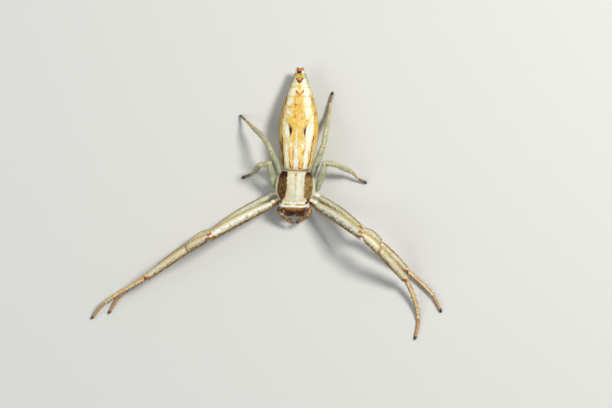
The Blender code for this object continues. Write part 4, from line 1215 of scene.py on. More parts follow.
# Distance forward from the waist with the half width, height of the back, height of the margin,
# half width of the core between the coxae, and height of the core's underside
CARAPACE = (
    (0.06, 0.98, 1.92, 1.72, 0.34, 1.30),
    (0.20, 1.17, 2.14, 1.68, 0.42, 1.05),
    (0.42, 1.34, 2.32, 1.64, 0.46, 0.92),
    (0.80, 1.50, 2.44, 1.58, 0.54, 0.92),
    (1.20, 1.56, 2.50, 1.54, 0.64, 0.92),
    (1.60, 1.55, 2.51, 1.52, 0.72, 0.92),
    (1.98, 1.40, 2.48, 1.52, 0.74, 0.92),
    (2.26, 1.19, 2.44, 1.53, 0.68, 1.00),
    (2.44, 1.10, 2.41, 1.54, 0.62, 1.24),
    (2.52, 1.13, 2.45, 1.55, 0.60, 1.40),
    (2.66, 1.14, 2.47, 1.57, 0.60, 1.48),
    (2.82, 1.14, 2.44, 1.59, 0.60, 1.52),
    (2.92, 1.08, 2.34, 1.61, 0.60, 1.54),
    (3.02, 0.96, 2.14, 1.62, 0.56, 1.55),
    (3.14, 0.82, 1.92, 1.63, 0.48, 1.56),
)
CARAPACE_ARCH = 0.62
MARGIN_THICKNESS = 0.07
CARAPACE_STEP = 0.026
ARCH_POINTS = 66
UNDER_POINTS = 22
REAR_CENTRE = np.array([0, 0, 1.62])
FACE_CENTRE = np.array([0, 0, 1.72])
REAR_BULGE = 0.05
FACE_BULGE = -0.10
# The pit in the middle of the back, and the faint rays that run from it
FOVEA = 0.37
FOVEA_DEPTH = 0.035
RAYS = 6
RAY_HEIGHT = 0.012
# Relief of the eye ridge, as height, distance forward and width: its lip behind, its groove, and the
# sharper lip in front
RIDGE_RELIEF = ((0.040, 2.51, 0.045), (-0.030, 2.66, 0.065))
RIDGE_LIP = (0.050, 2.83, 0.055)
SHELL_GRAIN = 0.010
RIM_HEIGHT = 0.015
# The middle of a low swelling under each of the outer eyes
BROW = (1.02, -2.68, 2.10)
BROW_HEIGHT = 0.08
BROW_WIDTH = 0.30
# Eyes: name, diameter, the way out as an out-heading and a rise, and colour
EYES = (
    ("anterior_median", 0.13, (-90, 10), SOOT),
    ("anterior_lateral", 0.20, (-50, 6), SOOT),
    ("posterior_median", 0.11, (-90, 84), BUFF),
    ("posterior_lateral", 0.17, (18, 28), SOOT),
)


def eye_centre(name, side):
    """The middle of an eye's solid, in the animal's frame."""
    low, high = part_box(f"eye_{name}_{side}")
    return (np.array(low) + np.array(high)) / 2 / MM - WAIST / MM


def carapace_outline(forward, half_width, back, margin, core, bottom):
    """One cross-section: from the middle of the back down the left side, and up again on the right."""
    angle = np.linspace(math.pi / 2, 0, 160)
    arch = np.stack([half_width * np.cos(angle) ** CARAPACE_ARCH,
                     margin + (back - margin) * np.sin(angle) ** CARAPACE_ARCH], axis=1)
    arch[0] = (0.0, back)
    under = margin - MARGIN_THICKNESS
    neck = min(core + 0.06, 0.9 * half_width)
    lower = np.array([(half_width, margin), (half_width + 0.004, margin - 0.03), (0.96 * half_width, under),
                      (neck, under - 0.02), (core + 0.02, under - 0.06), (core, (under + bottom) / 2),
                      (0.8 * core, bottom), (0.0, bottom - 0.01)])
    upper = resample(arch, ARCH_POINTS)
    lower = resample(lower, UNDER_POINTS)[1:]
    half = np.concatenate([upper, lower])
    points = np.concatenate([half, half[-2:0:-1] * [-1, 1]])
    return np.stack([points[:, 0], np.full(len(points), -forward), points[:, 1]], axis=1)


def closing_rings(ring, sizes, centre, bulge):
    """Shrinking copies of a ring, which close an end and bulge out from it."""
    return [centre + (ring - centre) * [size, 1, size] + [0, bulge * (1 - size), 0] for size in sizes]


def carapace_rings():
    """The plain form, closed at the rear and at the face."""
    table = np.array(CARAPACE)
    start, end = table[0, 0], table[-1, 0]
    forward = np.concatenate([np.linspace(start, 0.30, 14), np.arange(0.325, 3.12, CARAPACE_STEP), [end]])
    columns = [curve_through(forward, np.stack([table[:, 0], table[:, k]], axis=1)) for k in range(1, 6)]
    rings = [carapace_outline(f, *values) for f, *values in zip(forward, *columns)]
    rear = [math.sin(math.pi / 2 * (k + 0.6) / 5) for k in range(5)]
    face = [math.cos(math.pi / 2 * (k + 0.7) / 6.4) for k in range(6)]
    return np.array(closing_rings(rings[0], rear, REAR_CENTRE, REAR_BULGE) + rings
                    + closing_rings(rings[-1], face, FACE_CENTRE, FACE_BULGE))


def carapace_surface():
    """The rings with their relief, and the normals of the plain form."""
    grid = carapace_rings()
    normals = grid_normals(grid)
    x, y, z = grid[..., 0], -grid[..., 1], grid[..., 2]
    ax = np.abs(x)
    top = smooth(normals[..., 2], 0.15, 0.6) * smooth(z, 1.7, 1.95)
    across = 1 - smooth(ax, 1.0, 1.16)
    push = top * across * add_humps(0.0, y, RIDGE_RELIEF)
    height, place, width = RIDGE_LIP
    push += across * smooth(z, 2.0, 2.2) * height * hump(y, place, width)
    push -= FOVEA_DEPTH * top * hump(x, 0, 0.05) * hump(y, FOVEA, 0.09)
    rays = np.cos(RAYS * np.arctan2(x, y - FOVEA))
    away = np.hypot(x, y - FOVEA)
    push += RAY_HEIGHT * top * rays * smooth(away, 0.35, 0.9) * (1 - smooth(away, 1.2, 1.7))
    push += SHELL_GRAIN * top * (noise(grid.reshape(-1, 3), 6.0, 31).reshape(x.shape) - 0.5)
    # a rounded rim along the margin
    push += RIM_HEIGHT * (smooth(ax, 0.9, 1.0) * hump(z, 1.58, 0.06)) * (y < 2.3)
    for name, diameter, _, _ in EYES:
        for side in SIDES:
            distance = np.linalg.norm(grid - eye_centre(name, side), axis=-1)
            push += (0.030 if diameter < 0.15 else 0.055) * hump(distance, 0, 0.9 * diameter)
    from_brow = np.linalg.norm(np.stack([ax, grid[..., 1], z], axis=-1) - BROW, axis=-1)
    push += BROW_HEIGHT * hump(from_brow, 0, BROW_WIDTH)
    return grid + normals * push[..., None], normals


def cells(points, count, box, seed):
    """Distance from the borders of random cells, for net-like markings."""
    rng = np.random.default_rng(seed)
    seeds = rng.uniform(box[0], box[1], (count, 2))
    distances = np.linalg.norm(points[:, None] - seeds[None], axis=-1)
    nearest = np.partition(distances, 1, axis=1)
    return nearest[:, 1] - nearest[:, 0]


# The dark bands of the carapace: sideways, forward from the waist, and half width, right and left
DARK_BANDS = (
    ((-0.74, 0.14, 0.16), (-0.84, 0.26, 0.27), (-0.90, 0.50, 0.32), (-0.93, 0.76, 0.35),
     (-0.95, 1.00, 0.35), (-0.94, 1.25, 0.38), (-0.955, 1.50, 0.375), (-0.96, 1.75, 0.35),
     (-0.94, 2.00, 0.27), (-0.96, 2.20, 0.10), (-1.02, 2.46, 0.06)),
    ((0.98, 0.14, 0.15), (1.05, 0.26, 0.22), (1.075, 0.50, 0.285), (1.07, 0.76, 0.33),
     (1.10, 1.00, 0.30), (1.085, 1.25, 0.315), (1.07, 1.50, 0.31), (1.075, 1.75, 0.285),
     (1.04, 2.00, 0.23), (1.06, 2.16, 0.12), (1.05, 2.38, 0.07)),
)
# The eye ridge's markings, in the same form
RIDGE_MARKS = (
    (GOLD, 0.95, 0.03, ((-0.92, 2.65, 0.040), (-0.72, 2.67, 0.065), (-0.22, 2.69, 0.070))),
    (OLIVE_YELLOW, 0.98, 0.025, ((-0.68, 2.68, 0.050), (-0.42, 2.68, 0.060))),
    (GOLD, 0.98, 0.025, ((0.18, 2.68, 0.075), (0.80, 2.68, 0.075))),
    (OLIVE_YELLOW, 0.90, 0.02, ((0.22, 2.68, 0.050), (0.74, 2.68, 0.050))),
    (PINK, 0.50, 0.04, ((-0.04, 2.54, 0.05), (-0.02, 2.76, 0.06), (0.08, 2.66, 0.05))),
    (PINK, 0.35, 0.03, ((-0.85, 2.53, 0.025), (0.30, 2.53, 0.025))),
    (OLIVE_YELLOW, 0.90, 0.05, ((-1.10, 2.56, 0.06), (-1.06, 2.76, 0.07))),
    (OLIVE_YELLOW, 0.55, 0.04, ((1.00, 2.56, 0.05), (1.04, 2.70, 0.05))),
    (BROWN, 0.60, 0.025, ((0.86, 2.62, 0.025), (0.98, 2.72, 0.030))),
    # a black-brown spot just in front of the ridge's end on the animal's left
    (BLACK_BROWN, 0.90, 0.03, ((0.88, 2.90, 0.045), (1.08, 2.85, 0.055))),
)
# Markings of the carapace, in the same form as the abdomen's, with the distance forward
CARAPACE_MARKS = (
    (TAN, 0.70, 0.06, ((-0.62, 0.60, 0.04), (-0.50, 1.00, 0.06), (-0.46, 1.30, 0.08),
                       (-0.50, 1.80, 0.09), (-0.70, 2.14, 0.14))),
    (TAN, 0.50, 0.05, ((0.68, 1.10, 0.04), (0.69, 1.70, 0.06), (0.80, 2.14, 0.10))),
    (ORANGE_TAN, 0.60, 0.05, ((-0.80, 2.16, 0.08), (-0.88, 2.34, 0.07))),
    (ORANGE_TAN, 0.65, 0.05, ((1.20, 2.06, 0.05), (1.14, 2.36, 0.06))),
    (ORANGE_TAN, 0.45, 0.04, ((-1.25, 1.10, 0.03), (-1.28, 1.75, 0.04), (-1.20, 2.10, 0.04))),
    (SHELL_WHITE, 0.85, 0.08, ((0.38, 0.25, 0.16), (0.34, 0.90, 0.14), (0.40, 1.55, 0.16),
                               (0.36, 2.30, 0.20))),
    (SHELL_WHITE, 0.45, 0.06, ((-0.22, 0.30, 0.08), (-0.24, 1.50, 0.07))),
    (PALE_GREEN, 0.45, 0.07, ((-0.34, 0.60, 0.05), (-0.30, 1.60, 0.06))),
    (PALE_GREEN, 0.50, 0.07, ((-0.40, 1.75, 0.12), (-0.10, 2.30, 0.12))),
    (PALE_GREEN, 0.25, 0.06, ((0.50, 1.90, 0.06), (0.46, 2.30, 0.06))),
    (OLIVE_YELLOW, 0.40, 0.05, ((-0.70, 2.38, 0.05), (0.05, 2.42, 0.05), (0.75, 2.36, 0.04))),
    (PINK, 0.16, 0.05, ((0.56, 1.20, 0.04), (0.62, 2.20, 0.05))),
    (ORANGE_TAN, 0.75, 0.03, ((0.09, 0.46, 0.025), (0.11, 0.80, 0.040), (0.10, 1.00, 0.014))),
    (ORANGE_TAN, 0.70, 0.03, ((0.09, 1.06, 0.025), (0.11, 1.30, 0.038), (0.10, 1.70, 0.020))),
    (ORANGE_TAN, 0.40, 0.04, ((0.08, 0.12, 0.035), (0.10, 0.34, 0.030))),
    (TAN, 0.60, 0.05, ((-0.40, 0.10, 0.05), (0.05, 0.12, 0.06), (0.50, 0.10, 0.05))),
    (BROWN, 0.95, 0.03, ((0.07, 0.33, 0.045), (0.11, 0.41, 0.040))),
    (BLACK_BROWN, 0.80, 0.02, ((0.09, 0.37, 0.028),)),
)
# Dark streaks behind the ends of the eye ridge, on the animal's right and left
HEAD_CORNERS = (
    (RED_BROWN, 0.90, 0.04, ((-0.97, 2.24, 0.06), (-1.04, 2.46, 0.07))),
    (BLACK_BROWN, 0.85, 0.04, ((1.10, 2.24, 0.05), (1.12, 2.40, 0.06))),
)
# Pale patches of the face: sideways, height and half width
FACE_PATCHES = (((-0.34, 2.16, 0.08), (-0.24, 2.02, 0.08)), ((0.05, 2.16, 0.08), (0.40, 2.12, 0.08)))
# The net in the dark bands: its cells, how much narrower than long they are, and the box they fill
NET_CELLS = 1100
NET_STRETCH = 1.5
NET_BOX = ([-2.4, 0.0], [2.4, 2.5])


def paint_dark_band(p, y, wobble, fine):
    """Blackish behind, with a net of paler lines that is richer on the animal's left."""
    left = p[:, 0] > 0
    net = cells(np.stack([p[:, 0] * NET_STRETCH, y], axis=1), NET_CELLS, NET_BOX, 5)
    lace = 1 - smooth(net, 0.010, 0.036)
    pale = smooth(y, 0.28, 0.7) * (0.65 + 0.35 * smooth(noise(p, 3.0, 47), 0.20, 0.50))
    streaky = noise(p * [2.2, 0.8, 1.0], 6.0, 48)
    return layers(np.where(left[:, None], UMBER, BLACK_BROWN), (
        (UMBER, np.where(left, 0.0, 0.85) * smooth(streaky, 0.45, 0.65)),
        (BROWN, np.where(left, 0.15, 0.25) * smooth(wobble, 0.45, 0.7)),
        (RED_BROWN, np.where(left, 0.0, 0.6) * smooth(p[:, 0], -1.08, -1.20)),
        (OLIVE_YELLOW, 0.16 * smooth(y, 0.6, 1.3) * smooth(fine, 0.5, 0.7)),
        (LACE, np.where(left, 0.90, 0.25) * lace * pale),
        (BLACK_BROWN, np.where(left, 0.30, 0.60) * smooth(fine, 0.55, 0.72)),
        (BLACK_BROWN, 0.95 * (1 - smooth(y, 0.18, np.where(left, 0.42, 0.85)))),
    ))


def paint_face(colour, x, y, z):
    """Orange-brown under the ridge, darker down its sides, and pale patches under the eyes."""
    ax = np.abs(x)
    face = smooth(y, 2.88, 2.93) * (1 - smooth(z, 2.26, 2.38))
    patches = streak_mask(x, z, FACE_PATCHES[0], 0.08) + streak_mask(x, z, FACE_PATCHES[1], 0.08)
    side_face = smooth(y, 2.30, 2.45) * (1 - smooth(z, 1.85, 2.05))
    return layers(colour, (
        (FACE_ORANGE, 0.98 * face),
        (RED_BROWN, 0.75 * face * smooth(ax, 0.20, 0.45) * (1 - smooth(z, 1.90, 2.10))),
        (BLACK_BROWN, 0.85 * face * smooth(ax, 0.55, 0.85)),
        (YELLOW, 0.50 * face * patches),
        (ORANGE, 0.55 * face * stripe(x, 0.0, 0.12, 0.10) * (1 - smooth(z, 1.95, 2.10))),
        (CHESTNUT, 0.80 * side_face),
    ))


def paint_eye_rings(colour, p):
    """Dark rings in pale sockets round the eyes."""
    for name, diameter, _, _ in EYES:
        for side in SIDES:
            distance = np.linalg.norm(p - eye_centre(name, side), axis=1)
            colour = mix(colour, WHITE, 0.6 * (1 - smooth(distance, 0.9 * diameter, 1.2 * diameter)))
            if diameter > 0.12:
                colour = mix(colour, BROWN, 0.8 * (1 - smooth(distance, 0.62 * diameter, 0.80 * diameter)))
    return colour


def paint_carapace(grid, normals):
    p = grid.reshape(-1, 3)
    up = normals.reshape(-1, 3)[:, 2]
    wobble = noise(p, 4.0, 41)
    fine = noise(p, 12.0, 42)
    x = p[:, 0] + 0.05 * (noise(p, 5.0, 43) - 0.5) + 0.05 * (noise(p, 10.0, 46) - 0.5)
    y, z = -p[:, 1], p[:, 2]
    colour = mix(plain(grid, SHELL_CREAM), SHELL_WHITE, 0.25 + 0.35 * smooth(wobble, 0.3, 0.7))
    # faint greenish streaks along the pale middle
    for place in (0.16, 0.36, 0.52):
        faint = smooth(noise(p * [1, 0.5, 1], 3.0, int(100 * place)), 0.45, 0.7)
        line = stripe(np.abs(x), place + 0.04 * np.sin(2 * y), 0.035, 0.03)
        colour = mix(colour, GREEN_GREY, 0.20 * faint * line)
    colour = draw_marks(colour, CARAPACE_MARKS, x, y, smooth(z, 1.62, 1.78))
    band_colour = paint_dark_band(p, y, wobble, fine)
    for points in DARK_BANDS:
        band = streak_mask(x, y, points, 0.035) * smooth(y, 0.06, 0.12) * smooth(z, 1.58, 1.70)
        colour = mix(colour, band_colour, 0.99 * band)
    colour = draw_marks(colour, HEAD_CORNERS, x, y, smooth(z, 1.7, 1.9))
    # the margin, then the eye ridge's white lips with a broken yellow-brown line between them
    ridge = smooth(y, 2.44, 2.52) * smooth(z, 2.0, 2.2)
    colour = layers(colour, (
        (LIP_WHITE, 0.9 * (1 - smooth(z, 1.60, 1.70)) * (y < 2.4)),
        (BUFF, 0.35 * smooth(fine, 0.55, 0.75) * (1 - smooth(z, 1.58, 1.66))),
        (LIP_WHITE, 0.95 * ridge * (up > -0.2)),
    ))
    colour = draw_marks(colour, RIDGE_MARKS, x, y, smooth(z, 1.9, 2.1))
    colour = paint_eye_rings(paint_face(colour, x, y, z), p)
    # underside and core
    low = 1 - smooth(z, 1.42, 1.50)
    return layers(colour, ((BUFF, 0.85 * low), (CHESTNUT, 0.45 * low * smooth(y, 1.5, 2.4))))


def add_carapace(skin):
    grid, normals = carapace_surface()
    paint = paint_carapace(grid, normals)
    obj = add_grids("carapace_skin", [(grid, paint)], skin)
    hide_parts("carapace")
    return grid, paint


# Underside: sternum, labium and the endites beside it

# Distance forward with the half width
STERNUM = ((0.64, 0.06), (0.70, 0.17), (0.82, 0.28), (1.10, 0.42), (1.45, 0.52), (1.80, 0.55),
           (2.08, 0.49), (2.20, 0.36), (2.25, 0.20))
LABIUM = ((2.24, 0.10), (2.28, 0.17), (2.40, 0.18), (2.52, 0.13), (2.58, 0.05))
# Each plate with the depth of its bulge and its count of rings
PLATES = ((STERNUM, 0.17, 50), (LABIUM, 0.12, 16))
PLATE_LEVEL = 0.79
PLATE_THICKNESS = 0.05
PLATE_SIDES = 64
ENDITE_LINE = ((0.30, -2.26, 0.76), (0.31, -2.48, 0.74), (0.24, -2.70, 0.75), (0.15, -2.82, 0.77))
ENDITE_RADII = ((0.0, 0.06), (0.15, 0.115), (0.5, 0.13), (0.85, 0.10), (1.0, 0.03))


def plate(outline, crown, rings):
    """A plate under the body, bulging downwards, from (forward, half width) points."""
    forward = np.linspace(outline[0][0], outline[-1][0], rings)
    half = curve_through(forward, outline)
    angle = ring_angles(PLATE_SIDES)
    x = half[:, None] * np.cos(angle)[None]
    share = (half / half.max())[:, None]
    depth = np.where(np.sin(angle) < 0, crown * share ** 0.6, PLATE_THICKNESS)
    z = PLATE_LEVEL + depth * np.sin(angle)[None]
    return np.stack([x, np.repeat(-forward[:, None], PLATE_SIDES, 1), z], axis=-1)


def add_sternum(skin):
    pieces = []
    for outline, crown, rings in PLATES:
        grid = plate(outline, crown, rings)
        p = grid.reshape(-1, 3)
        rim = np.abs(p[:, 0]) / np.repeat(np.abs(grid[..., 0]).max(axis=1), grid.shape[1])
        pieces.append((grid, layers(plain(grid, BUFF), (
            (CREAM, smooth(noise(p, 5.0, 61), 0.3, 0.7)),
            (OLIVE_YELLOW, 0.5 * smooth(noise(p * [1, 1, 0.5], 9.0, 62), 0.55, 0.7)),
            (CHESTNUT, 0.55 * smooth(rim, 0.86, 0.99)),
        ))))
    for side in reversed(SIDES):
        grid = tube([mirrored(point, side) for point in ENDITE_LINE], ENDITE_RADII, 26, 24, 0.8)
        p = grid.reshape(-1, 3)
        pieces.append((grid, layers(plain(grid, BUFF), (
            (ORANGE_TAN, 0.7 * smooth(-p[:, 1], 2.45, 2.75)),
            (BROWN, 0.5 * smooth(noise(p, 9.0, 63), 0.55, 0.75)),
        ))))
    obj = add_grids("sternum_skin", pieces, skin)
    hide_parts("sternum")


# Mouthparts

CHELICERA_ROOT = (0.42, -3.14, 1.42)
CHELICERA_TIP = (0.30, -3.22, 0.66)
CHELICERA_WIDTH = 0.80
CHELICERA_DEPTH = 0.86
CHELICERA_PROFILE = (
    (0.0, 0.70), (0.05, 0.88), (0.12, 0.95), (0.30, 1.0), (0.55, 0.90), (0.80, 0.66), (0.95, 0.44),
    (1.0, 0.26),
)
CHELICERA_FULLNESS = 0.60
CHELICERA_RINGS, CHELICERA_SIDES = 48, 44
# The flat inner side: its distance from the middle, and the zone in which the outline turns flat
CHELICERA_GAP = 0.008
CHELICERA_EASE = 0.05
FANG_LINE = (
    (0.36, -3.30, 0.74), (0.35, -3.36, 0.64), (0.25, -3.37, 0.58), (0.13, -3.32, 0.60),
    (0.07, -3.27, 0.63),
)
FANG_RADII = ((0.0, 0.085), (0.25, 0.075), (0.6, 0.045), (1.0, 0.008))
PALP_JOINTS = (
    (0.76, -2.54, 1.12), (1.14, -2.96, 1.32), (1.10, -3.34, 1.38), (0.74, -3.68, 1.26),
    (0.13, -4.10, 0.98),
)
PALP_RADII = (
    (0.0, 0.11), (0.05, 0.12), (0.22, 0.150), (0.36, 0.175), (0.50, 0.130), (0.70, 0.105),
    (0.90, 0.085), (1.0, 0.05),
)
PALP_RINGS, PALP_SIDES = 110, 36
# Each of the palp's own joints has a waist, and a low swelling behind it
PALP_RELIEF = [row for joint in (1, 2, 3) for row in ((-0.20, joint, 0.06), (0.05, joint - 0.16, 0.06))]
PALP_HAIR = Hair(1300, 0.11, 0.006, 0.32, TAN, 0.4)
PALP_BRISTLES = Hair(420, 0.18, 0.007, 0.50, BROWN, 0.9)


def chelicera_grid(side):
    """Rings of a chelicera. The inner sides of the two are flat and nearly touch."""
    root, tip = mirrored(CHELICERA_ROOT, side), mirrored(CHELICERA_TIP, side)
    t = np.linspace(0, 1, CHELICERA_RINGS)
    size = curve_through(t, CHELICERA_PROFILE)
    angle = ring_angles(CHELICERA_SIDES)
    centre = root + (tip - root) * t[:, None]
    outline = np.stack([CHELICERA_WIDTH / 2 * rounded(np.cos(angle), CHELICERA_FULLNESS),
                        -CHELICERA_DEPTH / 2 * rounded(np.sin(angle), CHELICERA_FULLNESS),
                        0 * angle], axis=-1)
    grid = centre[:, None] + size[:, None, None] * outline[None]
    sign = 1.0 if side == "left" else -1.0
    inner = sign * grid[..., 0]
    past = (inner - CHELICERA_GAP - CHELICERA_EASE) / CHELICERA_EASE
    eased = CHELICERA_GAP + CHELICERA_EASE * np.exp(past)
    grid[..., 0] = sign * np.where(inner < CHELICERA_GAP + CHELICERA_EASE, eased, inner)
    return grid


def add_chelicera(side, skin):
    grid = chelicera_grid(side)
    p = grid.reshape(-1, 3)
    paint = layers(plain(grid, UMBER), (
        (RED_BROWN, 0.35 + 0.45 * smooth(noise(p, 5.0, 71), 0.35, 0.7)),
        (DARK_BROWN, 0.65 * smooth(noise(p * [1.5, 1, 0.7], 6.0, 72), 0.40, 0.65)),
        (UMBER, 0.50 * smooth(np.abs(p[:, 0]), 0.45, 0.75)),
        (BLACK_BROWN, 0.85 * (1 - smooth(p[:, 2], 0.80, 1.15))),
    ))
    fang = tube([mirrored(point, side) for point in FANG_LINE], FANG_RADII, 22, 16)
    fang_red = 0.8 * smooth(fang.reshape(-1, 3)[:, 2], 0.60, 0.70)
    fang_paint = mix(plain(fang, BLACK_BROWN), RED_BROWN, fang_red)
    obj = add_grids(f"chelicera_{side}_skin", [(grid, paint), (fang, fang_paint)], skin)
    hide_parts(f"chelicera_{side}")


def palp_surface(side):
    """Rings of a palp, waisted at its joints, and each vertex's place in joints along it."""
    joints = np.array([mirrored(point, side) for point in PALP_JOINTS])
    lengths = np.concatenate([[0], np.cumsum(np.linalg.norm(np.diff(joints, axis=0), axis=1))])
    grid = tube(joints, PALP_RADII, PALP_RINGS, PALP_SIDES)
    place = np.interp(np.linspace(0, lengths[-1], PALP_RINGS), lengths, np.arange(len(joints)))
    centre = grid.mean(axis=1, keepdims=True)
    waist = add_humps(1.0, place, PALP_RELIEF)
    return centre + (grid - centre) * waist[:, None, None], np.repeat(place, PALP_SIDES)


def add_palp(side, skin, bristle, rng):
    grid, place = palp_surface(side)
    p = grid.reshape(-1, 3)
    paint = layers(plain(grid, ORANGE_TAN), (
        (CHESTNUT, 0.25 + 0.6 * smooth(noise(p, 8.0, 81), 0.4, 0.65)),
        (CREAM, 0.80 * smooth(noise(p, 5.0, 82), 0.52, 0.66)),
        (DARK_BROWN, 0.70 * smooth(noise(p, 9.0, 83), 0.66, 0.76)),
    ))
    for joint in (1, 2, 3):
        paint = layers(paint, (
            (CREAM, 0.80 * stripe(place, joint + 0.16, 0.06, 0.04)),
            (BUFF, 0.70 * stripe(place, joint - 0.14, 0.05, 0.04)),
            (DARK_BROWN, 0.75 * stripe(place, joint, 0.035, 0.04)),
        ))
    paint = layers(paint, (
        (BUFF, 0.5 * (1 - smooth(p[:, 2], 1.0, 1.25)) * (place < 3)),
        (UMBER, 0.5 * smooth(place, 3.4, 3.9)),
    ))
    obj = add_grids(f"pedipalp_{side}_skin", [(grid, paint)], skin)
    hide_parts(f"pedipalp_{side}")
    free = smooth(place, 0.3, 0.6)
    coat = add_hairs(f"pedipalp_{side}_coat", [
        hair_group(grid, paint, PALP_HAIR, free * (1 + smooth(place, 2.5, 3.5)), rng),
        hair_group(grid, paint, PALP_BRISTLES, free * (0.3 + smooth(place, 1.6, 3.0)), rng),
    ], bristle)


# Eyes

# The socket under a dome, as radius and height in parts of the dome's diameter
SOCKET_RADII = (0.62, 0.64, 0.60, 0.53)
SOCKET_HEIGHTS = (-0.35, -0.05, 0.06, 0.08)
# How many of its rings have the socket's own colour
SOCKET_RINGS = 3
DOME_RINGS, EYE_SIDES = 18, 40


def add_eye(name, diameter, angles, colour, side, glass):
    """A glossy dome in a low socket ring, facing the way the solid's dome does."""
    way = aim(*angles, side)
    low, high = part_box(f"eye_{name}_{side}")
    reach = np.abs(way) @ ((np.array(high) - np.array(low)) / 2 / MM)
    base = eye_centre(name, side) + way * (reach - 0.5 * diameter)
    across = unit(np.cross(way, [0.3, 0.2, 1.0]))
    other = np.cross(way, across)
    turn = np.linspace(0.12, math.pi / 2 - 0.03, DOME_RINGS)
    radii = np.concatenate([SOCKET_RADII, 0.5 * np.cos(turn)]) * diameter
    heights = np.concatenate([SOCKET_HEIGHTS, 0.5 * np.sin(turn)]) * diameter
    angle = ring_angles(EYE_SIDES)
    ring = across * np.cos(angle)[:, None] + other * np.sin(angle)[:, None]
    grid = base + radii[:, None, None] * ring[None] + heights[:, None, None] * way
    in_socket = np.repeat(np.arange(len(radii)) < SOCKET_RINGS, EYE_SIDES)
    paint = np.where(in_socket[:, None], SHELL_CREAM if name == "posterior_median" else RED_BROWN, colour)
    obj = add_grids(f"eye_{name}_{side}_dome", [(grid, paint)], glass)
    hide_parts(f"eye_{name}_{side}")


# Spinnerets and the knob above them

TAIL_BASE = (0.0, 7.57, 1.33)
COLLAR_RADII = ((0.0, 0.34), (0.10, 0.37), (0.45, 0.36), (0.60, 0.34), (0.70, 0.355), (0.90, 0.33),
                (0.97, 0.27), (1.0, 0.18))
COLLAR_LENGTH = 0.33
TAIL_HAIR = Hair(60, 0.09, 0.006, 0.4, BUFF, 0.6)
# Each cone: sideways and upwards from the axis, root and tip radius, length, and slope in degrees
TAIL_CONES = (
    (0.0, 0.17, 0.13, 0.07, 0.24, -6),
    (0.16, -0.11, 0.12, 0.06, 0.30, 8),
    (-0.16, -0.11, 0.12, 0.06, 0.30, 8),
    (0.18, 0.06, 0.11, 0.06, 0.28, 3),
    (-0.18, 0.06, 0.11, 0.06, 0.28, 3),
)


def add_spinnerets(skin, bristle, rng):
    base = np.array(TAIL_BASE)
    middle, end = base + [0, COLLAR_LENGTH / 2, 0], base + [0, COLLAR_LENGTH, 0]
    collar = tube([base, middle, end], COLLAR_RADII, 24, 60)
    p = collar.reshape(-1, 3)
    upper = smooth(p[:, 2], 1.36, 1.46)
    aside = np.abs(p[:, 0] + 0.03)
    pieces = [(collar, layers(plain(collar, TAN), (
        (PALE_BLUE_WHITE, 0.80 * upper * smooth(aside, 0.17, 0.23)),
        (BLUE_BLACK, 0.97 * upper * (1 - smooth(aside, 0.15, 0.22))),
        (ORANGE, 0.85 * smooth(p[:, 1], 7.75, 7.79)),
    )))]
    coats = []
    for x, up, root, tip, length, slope in TAIL_CONES:
        way = np.array([0.35 * x, math.cos(math.radians(slope)), math.sin(math.radians(slope))])
        start = base + [x, 0.05, up]
        end = start + way * (length + 0.12)
        radii = ((0.0, 0.9 * root), (0.3, root), (0.62, root + 0.3 * (tip - root)), (0.66, 0.75 * root),
                 (0.9, tip), (1.0, 0.4 * tip))
        cone = tube([start, (start + end) / 2, end], radii, 26, 28)
        q = cone.reshape(-1, 3)
        above = up > 0
        paint = layers(plain(cone, ORANGE if above else CHESTNUT), (
            (RED, 0.5 * smooth(noise(q, 9.0, 91), 0.4, 0.6)),
            (BLUE_BLACK, 0.95 * (1 - smooth(q[:, 1], 7.75, 7.79)) * above),
            (BROWN, 0.8 * smooth(q[:, 1], 7.86, 7.92)),
        ))
        pieces.append((cone, paint))
        coats.append(hair_group(cone, paint, TAIL_HAIR, smooth(q[:, 1], 7.70, 7.85), rng))
    obj = add_grids("spinnerets_skin", pieces, skin)
    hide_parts("spinnerets")
    coat = add_hairs("spinnerets_coat", coats, bristle)


# Spines and claws of the legs

# Share of the part's length for each pair of spines under the tibia and the metatarsus
SPINE_PLACES = {TIBIA: (0.30, 0.48, 0.64, 0.80, 0.92), METATARSUS: (0.10, 0.26, 0.42, 0.58, 0.74, 0.90)}
SPINE_LENGTHS = {TIBIA: 0.42, METATARSUS: 0.46}
SPINE_RADII = ((0.0, 0.026), (0.12, 0.024), (0.6, 0.015), (1.0, 0.003))
BRISTLE_PLACES = {FEMUR: (0.22, 0.40, 0.58, 0.76), TIBIA: (0.30, 0.62)}
CLAW_RADII = ((0.0, 0.030), (0.3, 0.026), (0.7, 0.014), (1.0, 0.003))


def nearest_vertex(facts, index, share, up, fore):
    """The vertex of a leg at a share of a part's length, on the given side of it."""
    part, d, length, own_up, own_fore = facts.reshape(-1, 5).T
    aside = np.hypot(own_up - up, own_fore - fore)
    distance = np.abs(d / length - share) * 4 + aside + 100 * (part != index)
    return int(np.argmin(distance))


